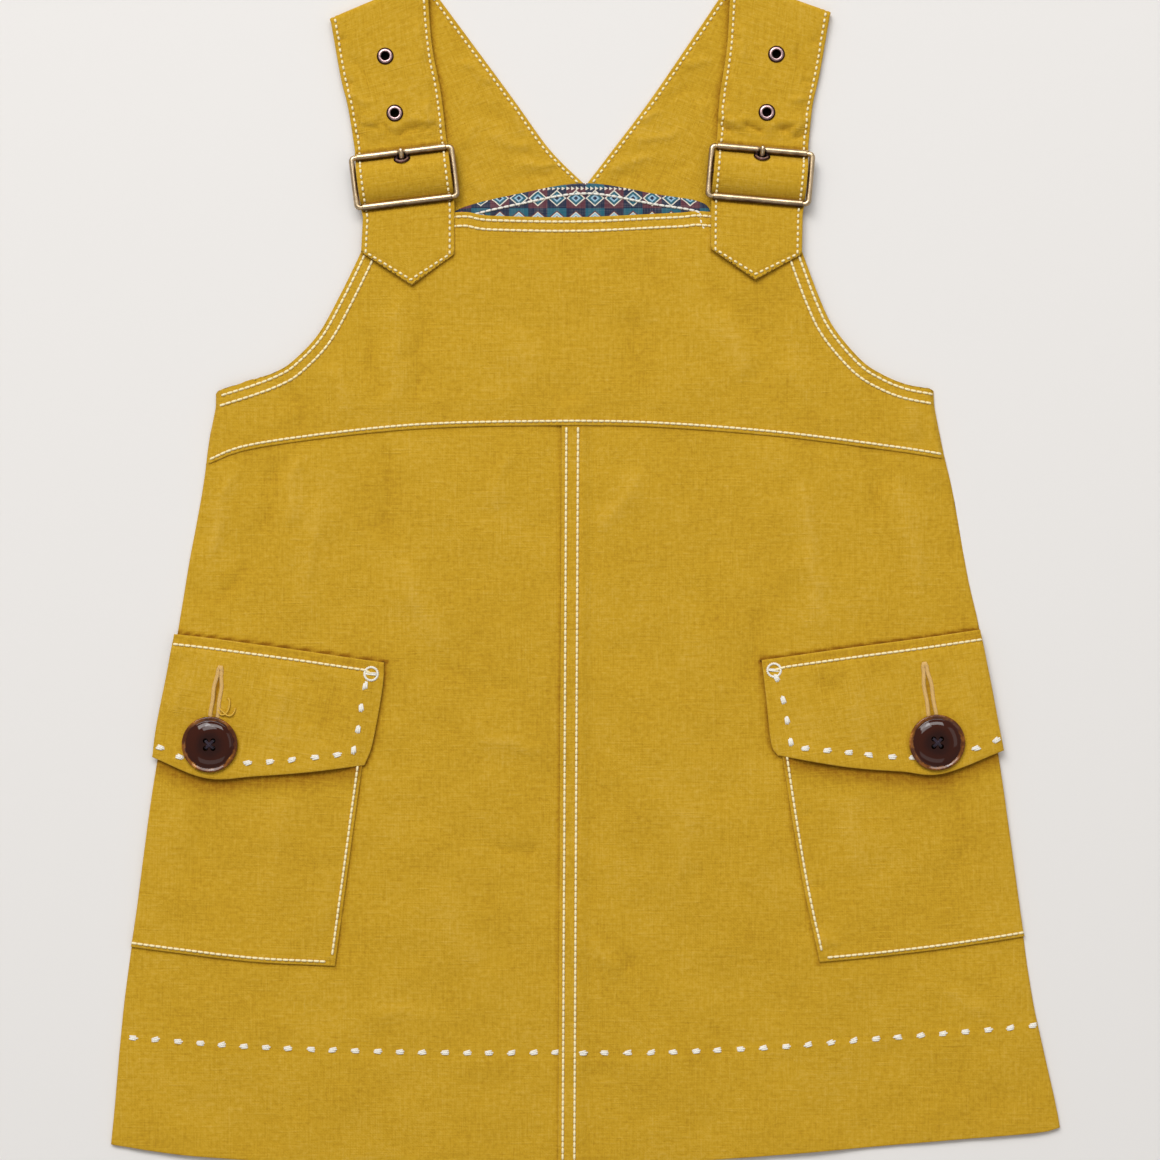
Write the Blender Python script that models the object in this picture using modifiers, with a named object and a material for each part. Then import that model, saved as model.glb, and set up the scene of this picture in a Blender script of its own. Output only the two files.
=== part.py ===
"""A child's pinafore dress with buckled straps, laid flat on its back.

+X is to the right as the dress is looked at, +Y runs from the hem to the straps and +Z is up from the
surface. The origin is below the middle of the dress. Tables and sizes are in millimetres.
"""

import math

import bmesh
import bpy
import numpy as np
from mathutils import Matrix, Vector

MM = 0.001

# Cloth and clearances
CLOTH = 1.0
STRAP_CLOTH = 1.2
GAP = 0.3

# Undersides of the layers, from the surface up
BACK_Z = 0.0
SKIRT_Z = BACK_Z + CLOTH + GAP
FACING_Z = STRAP_CLOTH + GAP
LAP_Z = SKIRT_Z + CLOTH + GAP
BIB_Z = FACING_Z + CLOTH + GAP
BIB_LAP_Z = LAP_Z + CLOTH + GAP
POCKET_Z = LAP_Z
FLAP_Z = POCKET_Z + CLOTH + GAP
BUTTON_Z = FLAP_Z + CLOTH + GAP

# Side seams, from the underarm down to the hem. Columns: x, y
SIDE = {
    "left": [
        (-155.3, 75.6), (-155.3, 69.5), (-158.2, 55.2), (-160.7, 36.1), (-166.1, 6.9), (-171.2, -24.2),
        (-176.8, -60.0), (-182.5, -95.6), (-188.0, -137.6), (-193.8, -179.6), (-197.6, -221.6),
        (-199.4, -240.5),
    ],
    "right": [
        (146.3, 76.8), (146.7, 69.5), (150.6, 50.0), (155.0, 31.3), (160.8, -2.1), (165.7, -24.2),
        (170.9, -60.0), (176.2, -95.6), (182.1, -137.6), (188.0, -179.6), (197.2, -221.6),
        (199.4, -233.3),
    ],
}  # fmt: skip
# Hem, from the left corner to the right one. Columns: x, y
HEM = [
    (-199.4, -240.5), (-166.5, -245.1), (-120.0, -248.2), (-60.0, -250.0), (0.0, -249.8), (53.1, -246.9),
    (100.0, -243.2), (150.0, -238.9), (190.0, -235.5), (199.4, -233.3),
]  # fmt: skip
# Yoke seam, where the bib is stitched over the skirt. Columns: x, y
YOKE = [
    (-160.0, 46.6), (-141.3, 53.5), (-99.8, 59.4), (-62.4, 62.6), (-8.6, 63.6), (31.3, 62.8), (81.1, 59.0),
    (130.8, 52.7), (152.0, 49.4),
]  # fmt: skip
# Armholes, from the underarm up to the hidden top corner of the bib. Columns: x, y
ARMHOLE = {
    "left": [
        (-155.3, 75.6), (-141.3, 80.0), (-130.4, 84.2), (-122.9, 88.8), (-112.4, 99.8), (-103.1, 116.5),
        (-94.3, 134.6), (-89.5, 147.0),
    ],
    "right": [
        (146.3, 76.8), (135.0, 79.0), (125.1, 83.0), (116.0, 89.0), (104.8, 102.0), (98.5, 114.5),
        (91.4, 133.4), (86.5, 147.0),
    ],
}  # fmt: skip
# Top edge of the bib. Columns: x, y
BIB_TOP = [
    (-89.5, 147.0), (-53.7, 151.2), (-39.3, 149.7), (0.0, 149.3), (37.6, 151.0), (51.0, 151.6), (86.5, 147.0)
]  # fmt: skip
# Top edge of the back neck facing. Columns: x, y
NECK = [
    (-93.0, 137.0), (-75.0, 139.5), (-59.0, 144.0), (-53.7, 152.5), (-27.1, 159.4), (0.6, 163.6),
    (29.5, 159.0), (50.2, 154.9), (54.6, 145.5), (72.0, 140.5), (90.0, 137.0),
]  # fmt: skip
# Seam of the back panel and the back straps, under the facing. Columns: x, y
NECK_SEAM = [
    (-93.0, 132.5), (-60.0, 140.0), (-27.1, 153.5), (0.0, 159.4), (27.0, 153.5), (60.0, 139.5), (90.0, 132.5)
]  # fmt: skip
# Lower edge of the facing, hidden by the bib. Columns: x, y
FACING_LOWER = [(84.0, 108.0), (0.0, 121.0), (-86.0, 108.0)]

# How far the bib's lower edge lies below the yoke seam, and the skirt's upper edge above it
YOKE_UNDER = 1.9
YOKE_OVER = 5.0
# How far the back stays inside the front's edges, and where its side seams end
SIDE_INSET = 0.8
BACK_SIDE_END = {"left": -239.0, "right": -232.0}
# Height of the bib's lower corners, and of the skirt's upper ones before they go under the bib
BIB_CORNER_Y = {"left": 46.0, "right": 48.0}
SKIRT_CORNER_Y = 52.0

# Centre front: the right half of the skirt laps over the left one
LAP_EDGE_TOP_X = -10.0
LAP_EDGE_HEM_X = -11.6
LAP_WIDTH = 8.6
LAP_RAMP = 5.0
# First even column beyond the lap's ramp, at the hem and at the yoke
EVEN_FROM_HEM_X = 22.0
EVEN_FROM_YOKE_X = 18.0
# The bib's rise over the lap: where it starts, is up, is still up and is down again. Its height holds in
# the lowest rows only
BIB_RISE_X = [-18.0, -11.5, 4.6, 13.0]
BIB_RISE_ROWS = 3

# Patch pockets. Columns: x, y, from the hidden top inner corner down, and along the bottom edge outwards
POCKET_TOP_Y = -44.0
POCKET_INNER = {
    "left": [(-88.6, -44.0), (-93.9, -82.1), (-100.2, -128.6), (-105.2, -165.4)],
    "right": [(78.8, -44.0), (82.9, -78.3), (90.6, -127.0), (98.3, -163.6)],
}
POCKET_BOTTOM = {
    "left": [(-105.2, -165.4), (-137.6, -163.6), (-169.9, -160.0), (-191.0, -157.3)],
    "right": [(98.3, -163.6), (124.9, -161.1), (150.6, -158.0), (184.5, -152.9)],
}

# Pocket flaps. Each edge has columns x, y; top and bottom run outwards, the sides run down
FLAP = {
    "left": {
        "top": [(-84.5, -37.8), (-97.7, -35.9), (-123.8, -32.1), (-157.7, -27.5), (-172.6, -25.8)],
        "bottom": [(-92.7, -80.9), (-116.3, -83.8), (-138.8, -85.5), (-159.1, -86.3), (-181.9, -77.5)],
        "inner": [(-84.5, -37.8), (-85.2, -48.9), (-89.3, -71.6), (-92.7, -80.9)],
        "outer": [(-172.6, -25.8), (-176.3, -45.2), (-180.1, -64.1), (-181.9, -77.5)],
    },
    "right": {
        "top": [(74.0, -36.8), (109.8, -31.7), (139.9, -27.7), (165.7, -23.9)],
        "bottom": [(80.6, -76.8), (109.8, -81.7), (132.4, -83.5), (149.6, -84.4), (175.5, -74.6)],
        "inner": [(74.0, -36.8), (75.8, -52.7), (77.9, -71.6), (80.6, -76.8)],
        "outer": [(165.7, -23.9), (169.9, -45.2), (173.7, -65.6), (175.5, -74.6)],
    },
}
BUTTONHOLE_TOP = {"left": (-153.1, -40.8), "right": (142.2, -39.3)}
BUTTONHOLE_WIDTH = 0.8
BUTTONHOLE_EYE_STEPS = 12

# How many straight steps stand for the edges of each piece
BACK_STEPS = {"hem": 18, "side": 12, "armhole": 10}
FACING_STEPS = {"neck": 32, "lower": 12}
SKIRT_LEFT_STEPS = {"hem": 12, "yoke": 10, "side": 16}
SKIRT_RIGHT_STEPS = {"hem": 8, "side": 12}
BIB_STEPS = {"half": 6, "underarm": 3, "armhole": 11}
POCKET_STEPS = 6
FLAP_STEPS = {"side": 7, "across": 10}
CURVE_STEPS = 16
SEAM_STEPS = 400

# Lengths of the cutters
BUTTONHOLE_CUT = 8.0
EYELET_CUT = 4.0
BUTTON_CUT = 10.0

# Buttons
BUTTON_PLACE = {"left": (-157.3, -72.0), "right": (147.2, -71.2)}
BUTTON_RADIUS = 11.7
BUTTON_THICK = 3.4
BUTTON_HOLE_RADIUS = 0.95
BUTTON_HOLE_SPREAD = 1.55
# Half section, from the middle of the underside round the rim and over the face. Columns: radius, height
BUTTON_SECTION = [
    (0.0, 0.0), (0.8 * BUTTON_RADIUS, 0.0), (0.95 * BUTTON_RADIUS, 0.4), (BUTTON_RADIUS, 1.3),
    (0.97 * BUTTON_RADIUS, 2.1), (0.86 * BUTTON_RADIUS, 2.1), (0.75 * BUTTON_RADIUS, 2.6),
    (0.56 * BUTTON_RADIUS, BUTTON_THICK - 0.2), (0.42 * BUTTON_RADIUS, BUTTON_THICK),
    (0.0, BUTTON_THICK - 0.2),
]  # fmt: skip
BUTTON_SIDES = 28
SHANK_RADIUS = 0.9
SMALL_SIDES = 12

# Buckles: a wire frame with a centre bar, a roller on each long bar and a prong
BUCKLE_PLACE = {"left": (-75.9, 165.6), "right": (73.2, 166.6)}
BUCKLE_TILT = {"left": 7.0, "right": -5.0}
BUCKLE_WIDTH = 43.1
BAR_SPREAD = 10.5
WIRE_RADIUS = 0.75
BAR_RADIUS = 0.7
FRAME_CORNER = 1.5
FRAME_CORNER_STEPS = 4
ROLLER_LENGTH = 37.6
ROLLER_INNER = 0.97
ROLLER_OUTER = 1.3
ROLLER_SIDES = 14
PRONG_RADIUS = 0.8
PRONG_GROWTH = 0.06
PRONG_EYE_WIRE = 0.55
PRONG_EYE_TURN = 250.0
PRONG_EYE_STEPS = 14
PRONG_STEPS = 14
# From the eye round the centre bar through the eyelet and over the top roller. Columns: y, z
PRONG_RUN = [
    (2.3, -1.75), (4.3, -1.7), (5.7, -1.1), (6.9, 0.0), (8.1, 1.15), (9.3, 2.05), (10.6, 2.48), (12.3, 2.35)
]  # fmt: skip
TAB_WIDTH = 31.0
# The eye of the tab turns from its lower side over the top to the tail
TAB_EYE_TURN = (228.0, 516.0)
TAB_EYE_STEPS = 16
TAB_TAIL_END = -19.0
# Opening for the prong in the middle of the tab's eye. Columns: x, y, z
TAB_SLOT = [(-1.3, -2.6, -3.0), (1.3, 3.0, 3.0)]

# Straps: each is one piece, from the back neck seam up, over the shoulder fold and down to its point
STRAP_UNDER_TOP_BAR = 2.2
STRAP_UNDER_LOW_BAR = 3.4
BAR_Z = STRAP_UNDER_LOW_BAR + STRAP_CLOTH / 2 + GAP + ROLLER_OUTER
TAB_EYE_INNER = BAR_RADIUS + GAP
TAB_EYE_OUTER = BAR_RADIUS + GAP + 2 * PRONG_EYE_WIRE
STRAP_CREST = BAR_Z + TAB_EYE_OUTER + GAP + STRAP_CLOTH / 2
STRAP_ON_BIB = BIB_Z + CLOTH + GAP + STRAP_CLOTH / 2
STRAP_ON_BACK = STRAP_CLOTH / 2
# The front leg lies this far above its height under the top bar
FRONT_LEG_RISE = 1.2
FOLD_RADIUS = (STRAP_UNDER_TOP_BAR + FRONT_LEG_RISE - STRAP_ON_BACK) / 2
FOLD_TURN = 60.0
FOLD_ROWS = 5
CREST_HALF = 2.3
# The strap is level this far past a bar, and rises onto the bib in this run
PAST_BAR = 0.6
ONTO_BIB = 3.6
STRAP_COLUMNS = 6
BACK_LEG_STEPS = 9
FRONT_LEG_STEPS = 8
TIP_STEPS = 3
# Rows through the buckle, down from above the top bar: the front leg's last row, the first row of the
# buckle's own, where they end and their step
BUCKLE_TOP_Y = 15.0
BUCKLE_ROWS = (13.5, -15.6, -1.35)
# Columns: x, y, from the base of the back strap up to the fold, then from the fold down the front. The
# first rows of the back leg give only the x of its ends at the neck seam
STRAP = {
    "left": {
        "back_outer": [(-91.0, 134.0), (-90.5, 160.0), (-93.0, 185.0), (-98.5, 210.0), (-106.7, 232.5)],
        "back_inner": [(-0.2, 159.6), (-0.4, 163.2), (-15.1, 177.9), (-31.3, 200.3), (-67.8, 249.7)],
        "front_outer": [(-106.7, 232.5), (-101.9, 208.3), (-98.7, 195.5)],
        "front_inner": [(-67.8, 249.7), (-65.6, 222.0), (-61.3, 201.8)],
        "half_width": 19.4,
        "shoulders": ((-94.1, 134.4), (-54.9, 133.5)),
        "point": (-72.9, 120.3),
        "eyelets": ((-84.0, 216.6), (-80.0, 192.7)),
    },
    "right": {
        "back_outer": [(88.0, 134.0), (88.0, 160.0), (89.5, 182.0), (94.5, 208.0), (102.2, 235.2)],
        "back_inner": [(0.4, 159.6), (0.4, 163.2), (13.4, 180.2), (29.5, 201.9), (62.0, 250.1)],
        "front_outer": [(102.2, 235.2), (97.4, 209.9), (94.6, 196.0)],
        "front_inner": [(62.0, 250.1), (60.0, 222.0), (56.6, 199.5)],
        "half_width": 19.3,
        "shoulders": ((90.8, 133.5), (52.5, 135.7)),
        "point": (71.2, 122.6),
        "eyelets": ((80.1, 217.4), (76.1, 193.0)),
    },
}

# Eyelets through the straps
EYELET_HOLE = 1.8
EYELET_BARREL = 2.2
EYELET_TOP = 3.6
EYELET_WASHER = 3.2
EYELET_RIM = 0.45
EYELET_ROUND = 0.3
EYELET_LIP = 0.6
EYELET_SIDES = 20
EYELET_IN_USE_Y = 6.4
EYELET_IN_USE_SLACK = 0.15

# Finishes: base colour, roughness, metallic
FINISH = {
    "ochre cloth": ((0.55, 0.34, 0.04), 0.9, 0.0),
    "printed cloth": ((0.05, 0.09, 0.16), 0.85, 0.0),
    "antique brass": ((0.42, 0.30, 0.15), 0.35, 1.0),
    "copper bronze": ((0.30, 0.14, 0.10), 0.35, 1.0),
    "tortoiseshell": ((0.10, 0.03, 0.015), 0.15, 0.0),
    "thread": ((0.30, 0.16, 0.03), 0.8, 0.0),
}


def collection(name):
    """A new collection in the scene."""
    made = bpy.data.collections.new(name)
    bpy.context.scene.collection.children.link(made)
    return made


def clear_scene():
    """Remove whatever the scene starts with."""
    for obj in list(bpy.data.objects):
        bpy.data.objects.remove(obj, do_unlink=True)


def place(obj, group, finish=None):
    """Link an object into a collection and give it a material of its own."""
    group.objects.link(obj)
    if finish is None:
        obj.hide_render = True
        obj.display_type = "WIRE"
        return obj
    colour, roughness, metallic = FINISH[finish]
    material = bpy.data.materials.new(obj.name + " " + finish)
    material.use_nodes = True
    shader = material.node_tree.nodes["Principled BSDF"]
    shader.inputs["Base Color"].default_value = (*colour, 1.0)
    shader.inputs["Roughness"].default_value = roughness
    shader.inputs["Metallic"].default_value = metallic
    obj.data.materials.append(material)
    return obj


# Curves through tables -------------------------------------------------------------------------------


def run(rows, steps):
    """Points at even steps along a smooth curve (Catmull-Rom) through the rows of a table."""
    knots = np.array(rows, float)
    ends = np.vstack([2 * knots[0] - knots[1], knots, 2 * knots[-1] - knots[-2]])
    share = np.linspace(0.0, 1.0, CURVE_STEPS, endpoint=False)[:, None]
    pieces = []
    for before, start, end, after in zip(ends, ends[1:], ends[2:], ends[3:]):
        bend = 2 * before - 5 * start + 4 * end - after
        twist = 3 * start - before - 3 * end + after
        pieces.append(start + 0.5 * ((end - before) * share + bend * share**2 + twist * share**3))
    fine = np.vstack(pieces + [knots[-1:]])
    length = np.concatenate([[0.0], np.cumsum(np.linalg.norm(np.diff(fine, axis=0), axis=1))])
    even = np.linspace(0.0, length[-1], steps + 1)
    return np.column_stack([np.interp(even, length, fine[:, axis]) for axis in range(fine.shape[1])])


def joined(*runs):
    """Runs end to end, with each shared point kept once."""
    return np.vstack([runs[0]] + [each[1:] for each in runs[1:]])


def height_on(rows, x):
    """The y of a curve that runs from left to right, at each x."""
    fine = run(rows, SEAM_STEPS)
    return np.interp(x, fine[:, 0], fine[:, 1])


def side_x(side, y):
    """The x of a side seam at each height y."""
    fine = run(SIDE[side], SEAM_STEPS)[::-1]
    return np.interp(y, fine[:, 1], fine[:, 0])


def along(rows, xs, drop=0.0):
    """Points of a curve that runs across, at the x values, moved down by drop."""
    xs = np.asarray(xs, float)
    return np.column_stack([xs, height_on(rows, xs) - drop])


def down_side(side, top, bottom, steps):
    """Points down a side seam between two heights."""
    ys = np.linspace(top, bottom, steps + 1)
    return np.column_stack([side_x(side, ys), ys])


def shares(edge):
    """How far along an edge each of its points is, from 0 to 1."""
    length = np.concatenate([[0.0], np.cumsum(np.linalg.norm(np.diff(edge, axis=0), axis=1))])
    return length / length[-1]


def patch(bottom, top, left, right):
    """A grid between four edges: what the two pairs of edges give, less what the corners give (Coons)."""
    u = ((shares(bottom) + shares(top)) / 2)[None, :, None]
    v = ((shares(left) + shares(right)) / 2)[:, None, None]
    across = (1 - u) * left[:, None] + u * right[:, None]
    upward = (1 - v) * bottom[None] + v * top[None]
    low = (1 - u) * bottom[0] + u * bottom[-1]
    high = (1 - u) * top[0] + u * top[-1]
    return across + upward - (1 - v) * low - v * high


# Solids -------------------------------------------------------------------------------------------------


def lofted(name, grid, thickness, offset):
    """A sheet through the rows of a grid of points, given its wall by Solidify: with offset 1 on the side
    that the grid faces (upwards where its columns run right and its rows up), with 0 on both sides."""
    rows, columns = grid.shape[:2]
    index = np.arange(rows * columns).reshape(rows, columns)
    corners = (index[:-1, :-1], index[:-1, 1:], index[1:, 1:], index[1:, :-1])
    faces = np.stack(corners, axis=-1).reshape(-1, 4)
    mesh = bpy.data.meshes.new(name)
    mesh.from_pydata((grid.reshape(-1, 3) * MM).tolist(), [], faces.tolist())
    obj = bpy.data.objects.new(name, mesh)
    wall = obj.modifiers.new("wall", "SOLIDIFY")
    wall.thickness = thickness * MM
    wall.offset = offset
    wall.use_even_offset = True
    return obj


def raised(points, underside):
    """Grid points with their heights."""
    return np.dstack([points, np.broadcast_to(underside, points.shape[:2])])


def outline(name, splines, thickness):
    """A flat shape with straight-edged outlines, lying in its own XY plane, as thick as given."""
    data = bpy.data.curves.new(name, "CURVE")
    data.dimensions = "2D"
    data.fill_mode = "BOTH"
    data.extrude = thickness / 2 * MM
    for points in splines:
        spline = data.splines.new("POLY")
        spline.points.add(len(points) - 1)
        spline.use_cyclic_u = True
        for target, (x, y) in zip(spline.points, points):
            target.co = (x * MM, y * MM, 0.0, 1.0)
    return bpy.data.objects.new(name, data)


def flat_sheet(name, points, underside):
    """A flat piece of cloth from its outline."""
    obj = outline(name, [points], CLOTH)
    obj.location.z = (underside + CLOTH / 2) * MM
    return obj


def as_mesh(obj):
    """The same object as a closed mesh, for Boolean work. The curve is removed."""
    bpy.context.scene.collection.objects.link(obj)
    bpy.context.view_layer.update()
    graph = bpy.context.evaluated_depsgraph_get()
    mesh = bpy.data.meshes.new_from_object(obj.evaluated_get(graph))
    shape = bmesh.new()
    shape.from_mesh(mesh)
    bmesh.ops.remove_doubles(shape, verts=shape.verts, dist=0.00001)
    bmesh.ops.recalc_face_normals(shape, faces=shape.faces)
    shape.to_mesh(mesh)
    shape.free()
    made = bpy.data.objects.new(obj.name, mesh)
    made.matrix_world = obj.matrix_world
    name = obj.name
    bpy.data.objects.remove(obj, do_unlink=True)
    made.name = name
    return made


def turned(name, profile, steps):
    """A ring: a closed profile of radius and height, turned about Z. The profile runs anticlockwise."""
    mesh = bpy.data.meshes.new(name)
    count = len(profile)
    points = [(radius * MM, 0.0, height * MM) for radius, height in profile]
    mesh.from_pydata(points, [(i, (i + 1) % count) for i in range(count)], [])
    obj = bpy.data.objects.new(name, mesh)
    screw = obj.modifiers.new("turn", "SCREW")
    screw.axis = "Z"
    screw.angle = 2 * math.pi
    screw.steps = steps
    screw.render_steps = steps
    screw.use_merge_vertices = True
    screw.merge_threshold = 0.00001
    screw.use_normal_flip = True
    return obj


def cylinder(name, radius, height, sides):
    """A cylinder about Z, centred on its origin."""
    shape = bmesh.new()
    bmesh.ops.create_cone(
        shape,
        cap_ends=True,
        segments=sides,
        radius1=radius * MM,
        radius2=radius * MM,
        depth=height * MM,
    )
    mesh = bpy.data.meshes.new(name)
    shape.to_mesh(mesh)
    shape.free()
    return bpy.data.objects.new(name, mesh)


def block(name, low, high):
    """A box between two corners."""
    shape = bmesh.new()
    size = Vector(high) - Vector(low)
    middle = (Vector(high) + Vector(low)) / 2
    move = Matrix.Translation(middle * MM) @ Matrix.Diagonal((*(size * MM), 1.0))
    bmesh.ops.create_cube(shape, size=1.0, matrix=move)
    mesh = bpy.data.meshes.new(name)
    shape.to_mesh(mesh)
    shape.free()
    return bpy.data.objects.new(name, mesh)


def wire(name, points, radii, closed):
    """A round wire through the points, with the radius at each of them."""
    data = bpy.data.curves.new(name, "CURVE")
    data.dimensions = "3D"
    data.bevel_depth = MM
    data.bevel_resolution = 2
    data.use_fill_caps = True
    spline = data.splines.new("POLY")
    spline.points.add(len(points) - 1)
    spline.use_cyclic_u = closed
    for target, (x, y, z), radius in zip(spline.points, points, radii):
        target.co = (x * MM, y * MM, z * MM, 1.0)
        target.radius = radius
    return bpy.data.objects.new(name, data)


def boolean(obj, other, operation):
    """Join another solid to an object or cut it away."""
    change = obj.modifiers.new(other.name, "BOOLEAN")
    change.operation = operation
    change.solver = "EXACT"
    change.object = other


def seam_x(side):
    """The x of each column of a back strap at its neck seam, from the outer edge to the inner one."""
    ends = STRAP[side]["back_outer"][0][0], STRAP[side]["back_inner"][0][0]
    return np.linspace(*ends, STRAP_COLUMNS + 1)


# Cloth panels -----------------------------------------------------------------------------------------


def back_panel(group):
    """The back in one layer, a little inside the front's edges. Its top edge is the neck seam."""
    neck = np.concatenate([seam_x("right"), seam_x("left")[::-1]])
    inset = np.array([SIDE_INSET, 0.0])
    edges = (
        along(HEM, np.linspace(HEM[0][0], HEM[-1][0], BACK_STEPS["hem"] + 1), -SIDE_INSET)[1:-1],
        down_side("right", BACK_SIDE_END["right"], SIDE["right"][0][1], BACK_STEPS["side"]) - inset,
        run(ARMHOLE["right"][:-1], BACK_STEPS["armhole"])[1:-1] - inset,
        along(NECK_SEAM, neck),
        run(ARMHOLE["left"][:-1], BACK_STEPS["armhole"])[-2:0:-1] + inset,
        down_side("left", SIDE["left"][0][1], BACK_SIDE_END["left"], BACK_STEPS["side"]) + inset,
    )
    shape = np.vstack(edges)
    return place(flat_sheet("back_panel", shape, BACK_Z), group, "ochre cloth")


def back_facing(group):
    """The printed facing inside the back neck, over the strap seam."""
    across = np.linspace(FACING_LOWER[-1][0], FACING_LOWER[0][0], FACING_STEPS["neck"] + 1)
    shape = np.vstack([along(NECK, across), run(FACING_LOWER, FACING_STEPS["lower"])])
    return place(flat_sheet("back_facing", shape, FACING_Z), group, "printed cloth")


def skirt_left(group):
    """The left half of the skirt, which runs under the lap at the centre front."""
    seam = np.array([(LAP_EDGE_HEM_X + LAP_WIDTH, 0.0), (LAP_EDGE_TOP_X + LAP_WIDTH, 0.0)])
    seam[0, 1] = height_on(HEM, seam[0, 0])
    seam[1, 1] = height_on(YOKE, seam[1, 0]) + YOKE_OVER
    corner = height_on(YOKE, side_x("left", SKIRT_CORNER_Y)) + YOKE_OVER
    steps = SKIRT_LEFT_STEPS
    shape = joined(
        along(HEM, np.linspace(HEM[0][0], seam[0, 0], steps["hem"] + 1)),
        seam,
        along(YOKE, np.linspace(seam[1, 0], side_x("left", corner), steps["yoke"] + 1), -YOKE_OVER),
        down_side("left", corner, HEM[0][1], steps["side"]),
    )
    return place(flat_sheet("front_skirt_left", shape[:-1], SKIRT_Z), group, "ochre cloth")


def skirt_right(group):
    """The right half of the skirt. Its lap is raised over the left half and comes down beside it."""
    corner = height_on(YOKE, side_x("right", SKIRT_CORNER_Y)) + YOKE_OVER
    count = SKIRT_RIGHT_STEPS["hem"] + 1
    lap = np.array([0.0, LAP_WIDTH + GAP * 2, LAP_WIDTH + LAP_RAMP])
    low = np.concatenate([LAP_EDGE_HEM_X + lap, np.linspace(EVEN_FROM_HEM_X, HEM[-1][0], count)])
    even = np.linspace(EVEN_FROM_YOKE_X, side_x("right", corner), count)
    bottom = along(HEM, low)
    top = along(YOKE, np.concatenate([LAP_EDGE_TOP_X + lap, even]), -YOKE_OVER)
    left = np.linspace(bottom[0], top[0], SKIRT_RIGHT_STEPS["side"] + 1)
    right = down_side("right", corner, HEM[-1][1], SKIRT_RIGHT_STEPS["side"])[::-1]
    grid = patch(bottom, top, left, right)
    # The first two columns are the lap's own edges
    rise = np.zeros(grid.shape[1])
    rise[:2] = LAP_Z - SKIRT_Z
    sheet = lofted("front_skirt_right", raised(grid, SKIRT_Z + rise), CLOTH, 1.0)
    return place(sheet, group, "ochre cloth")


def front_bib(group):
    """The bib and yoke in one piece, stitched over the skirt and raised where the skirt's lap runs under."""
    half = BIB_STEPS["half"]

    def columns(first, last):
        """The x of every column, from the left edge over the rise to the right one."""
        left_half = np.linspace(first, BIB_RISE_X[0], half + 1)[:-1]
        right_half = np.linspace(BIB_RISE_X[-1], last, half + 1)[1:]
        return np.concatenate([left_half, BIB_RISE_X, right_half])

    def edge(side, start):
        """One edge of the bib: the side seam from its lower corner, then the armhole."""
        seam = down_side(side, start, SIDE[side][0][1], BIB_STEPS["underarm"])
        return joined(seam, run(ARMHOLE[side], BIB_STEPS["armhole"]))

    corners = [side_x(side, BIB_CORNER_Y[side]) for side in ("left", "right")]
    bottom = along(YOKE, columns(*corners), YOKE_UNDER)
    top = along(BIB_TOP, columns(BIB_TOP[0][0], BIB_TOP[-1][0]))
    grid = patch(bottom, top, edge("left", bottom[0, 1]), edge("right", bottom[-1, 1]))
    rise = np.zeros(grid.shape[:2])
    rise[:BIB_RISE_ROWS, half + 1 : half + 3] = BIB_LAP_Z - BIB_Z
    sheet = lofted("front_bib", raised(grid, BIB_Z + rise), CLOTH, 1.0)
    return place(sheet, group, "ochre cloth")


def pocket(side, group):
    """A patch pocket that runs into the side seam. Its top edge is hidden under the flap."""
    inner = run(POCKET_INNER[side], POCKET_STEPS)
    lower = run(POCKET_BOTTOM[side], POCKET_STEPS)
    outer = down_side(side, lower[-1, 1], POCKET_TOP_Y, POCKET_STEPS)
    shape = joined(inner, lower, outer)
    return place(flat_sheet("pocket_" + side, shape, POCKET_Z), group, "ochre cloth")


def flap(side, group, cutters):
    """A pocket flap: stitched down along its top edge, then rising over the pocket. It has a buttonhole."""
    table = FLAP[side]
    left = run(table["inner"], FLAP_STEPS["side"])[::-1]
    right = run(table["outer"], FLAP_STEPS["side"])[::-1]
    bottom, upper = (run(table[edge], FLAP_STEPS["across"]) for edge in ("bottom", "top"))
    grid = patch(bottom, upper, left, right)
    under = np.full(grid.shape[:2], FLAP_Z)
    under[-1] = POCKET_Z
    # The left flap's columns run to the left, so its grid faces down
    sheet = lofted("flap_" + side, raised(grid, under), CLOTH, 1.0 if side == "right" else -1.0)
    place(sheet, group, "ochre cloth")
    top = Vector(BUTTONHOLE_TOP[side])
    end = Vector(BUTTON_PLACE[side])
    run_down = (end - top).normalized()
    beside = Vector((-run_down.y, run_down.x)) * BUTTONHOLE_WIDTH / 2
    reach = SHANK_RADIUS + GAP
    start = math.atan2(-run_down.y, -run_down.x) - math.asin(BUTTONHOLE_WIDTH / 2 / reach)
    turn = 2 * math.pi - 2 * math.asin(BUTTONHOLE_WIDTH / 2 / reach)
    angles = [start - turn * step / BUTTONHOLE_EYE_STEPS for step in range(BUTTONHOLE_EYE_STEPS + 1)]
    eye = [end + Vector((math.cos(angle), math.sin(angle))) * reach for angle in angles]
    points = [tuple(point) for point in [top - beside, top + beside] + eye]
    cutter = as_mesh(outline("buttonhole_" + side, [points], BUTTONHOLE_CUT))
    cutter.location.z = FLAP_Z * MM
    place(cutter, cutters)
    boolean(sheet, cutter, "DIFFERENCE")
    return sheet


# Straps -----------------------------------------------------------------------------------------------


def buckle_point(side, x, y):
    """A point of the buckle's own plane, seen from above: x along its bars, y up the strap."""
    tilt = math.radians(BUCKLE_TILT[side])
    centre = BUCKLE_PLACE[side]
    return (
        centre[0] + x * math.cos(tilt) - y * math.sin(tilt),
        centre[1] + x * math.sin(tilt) + y * math.cos(tilt),
    )


def ease(share):
    """0 to 1 with a level start and end."""
    share = np.clip(share, 0.0, 1.0)
    return share * share * (3.0 - 2.0 * share)


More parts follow.
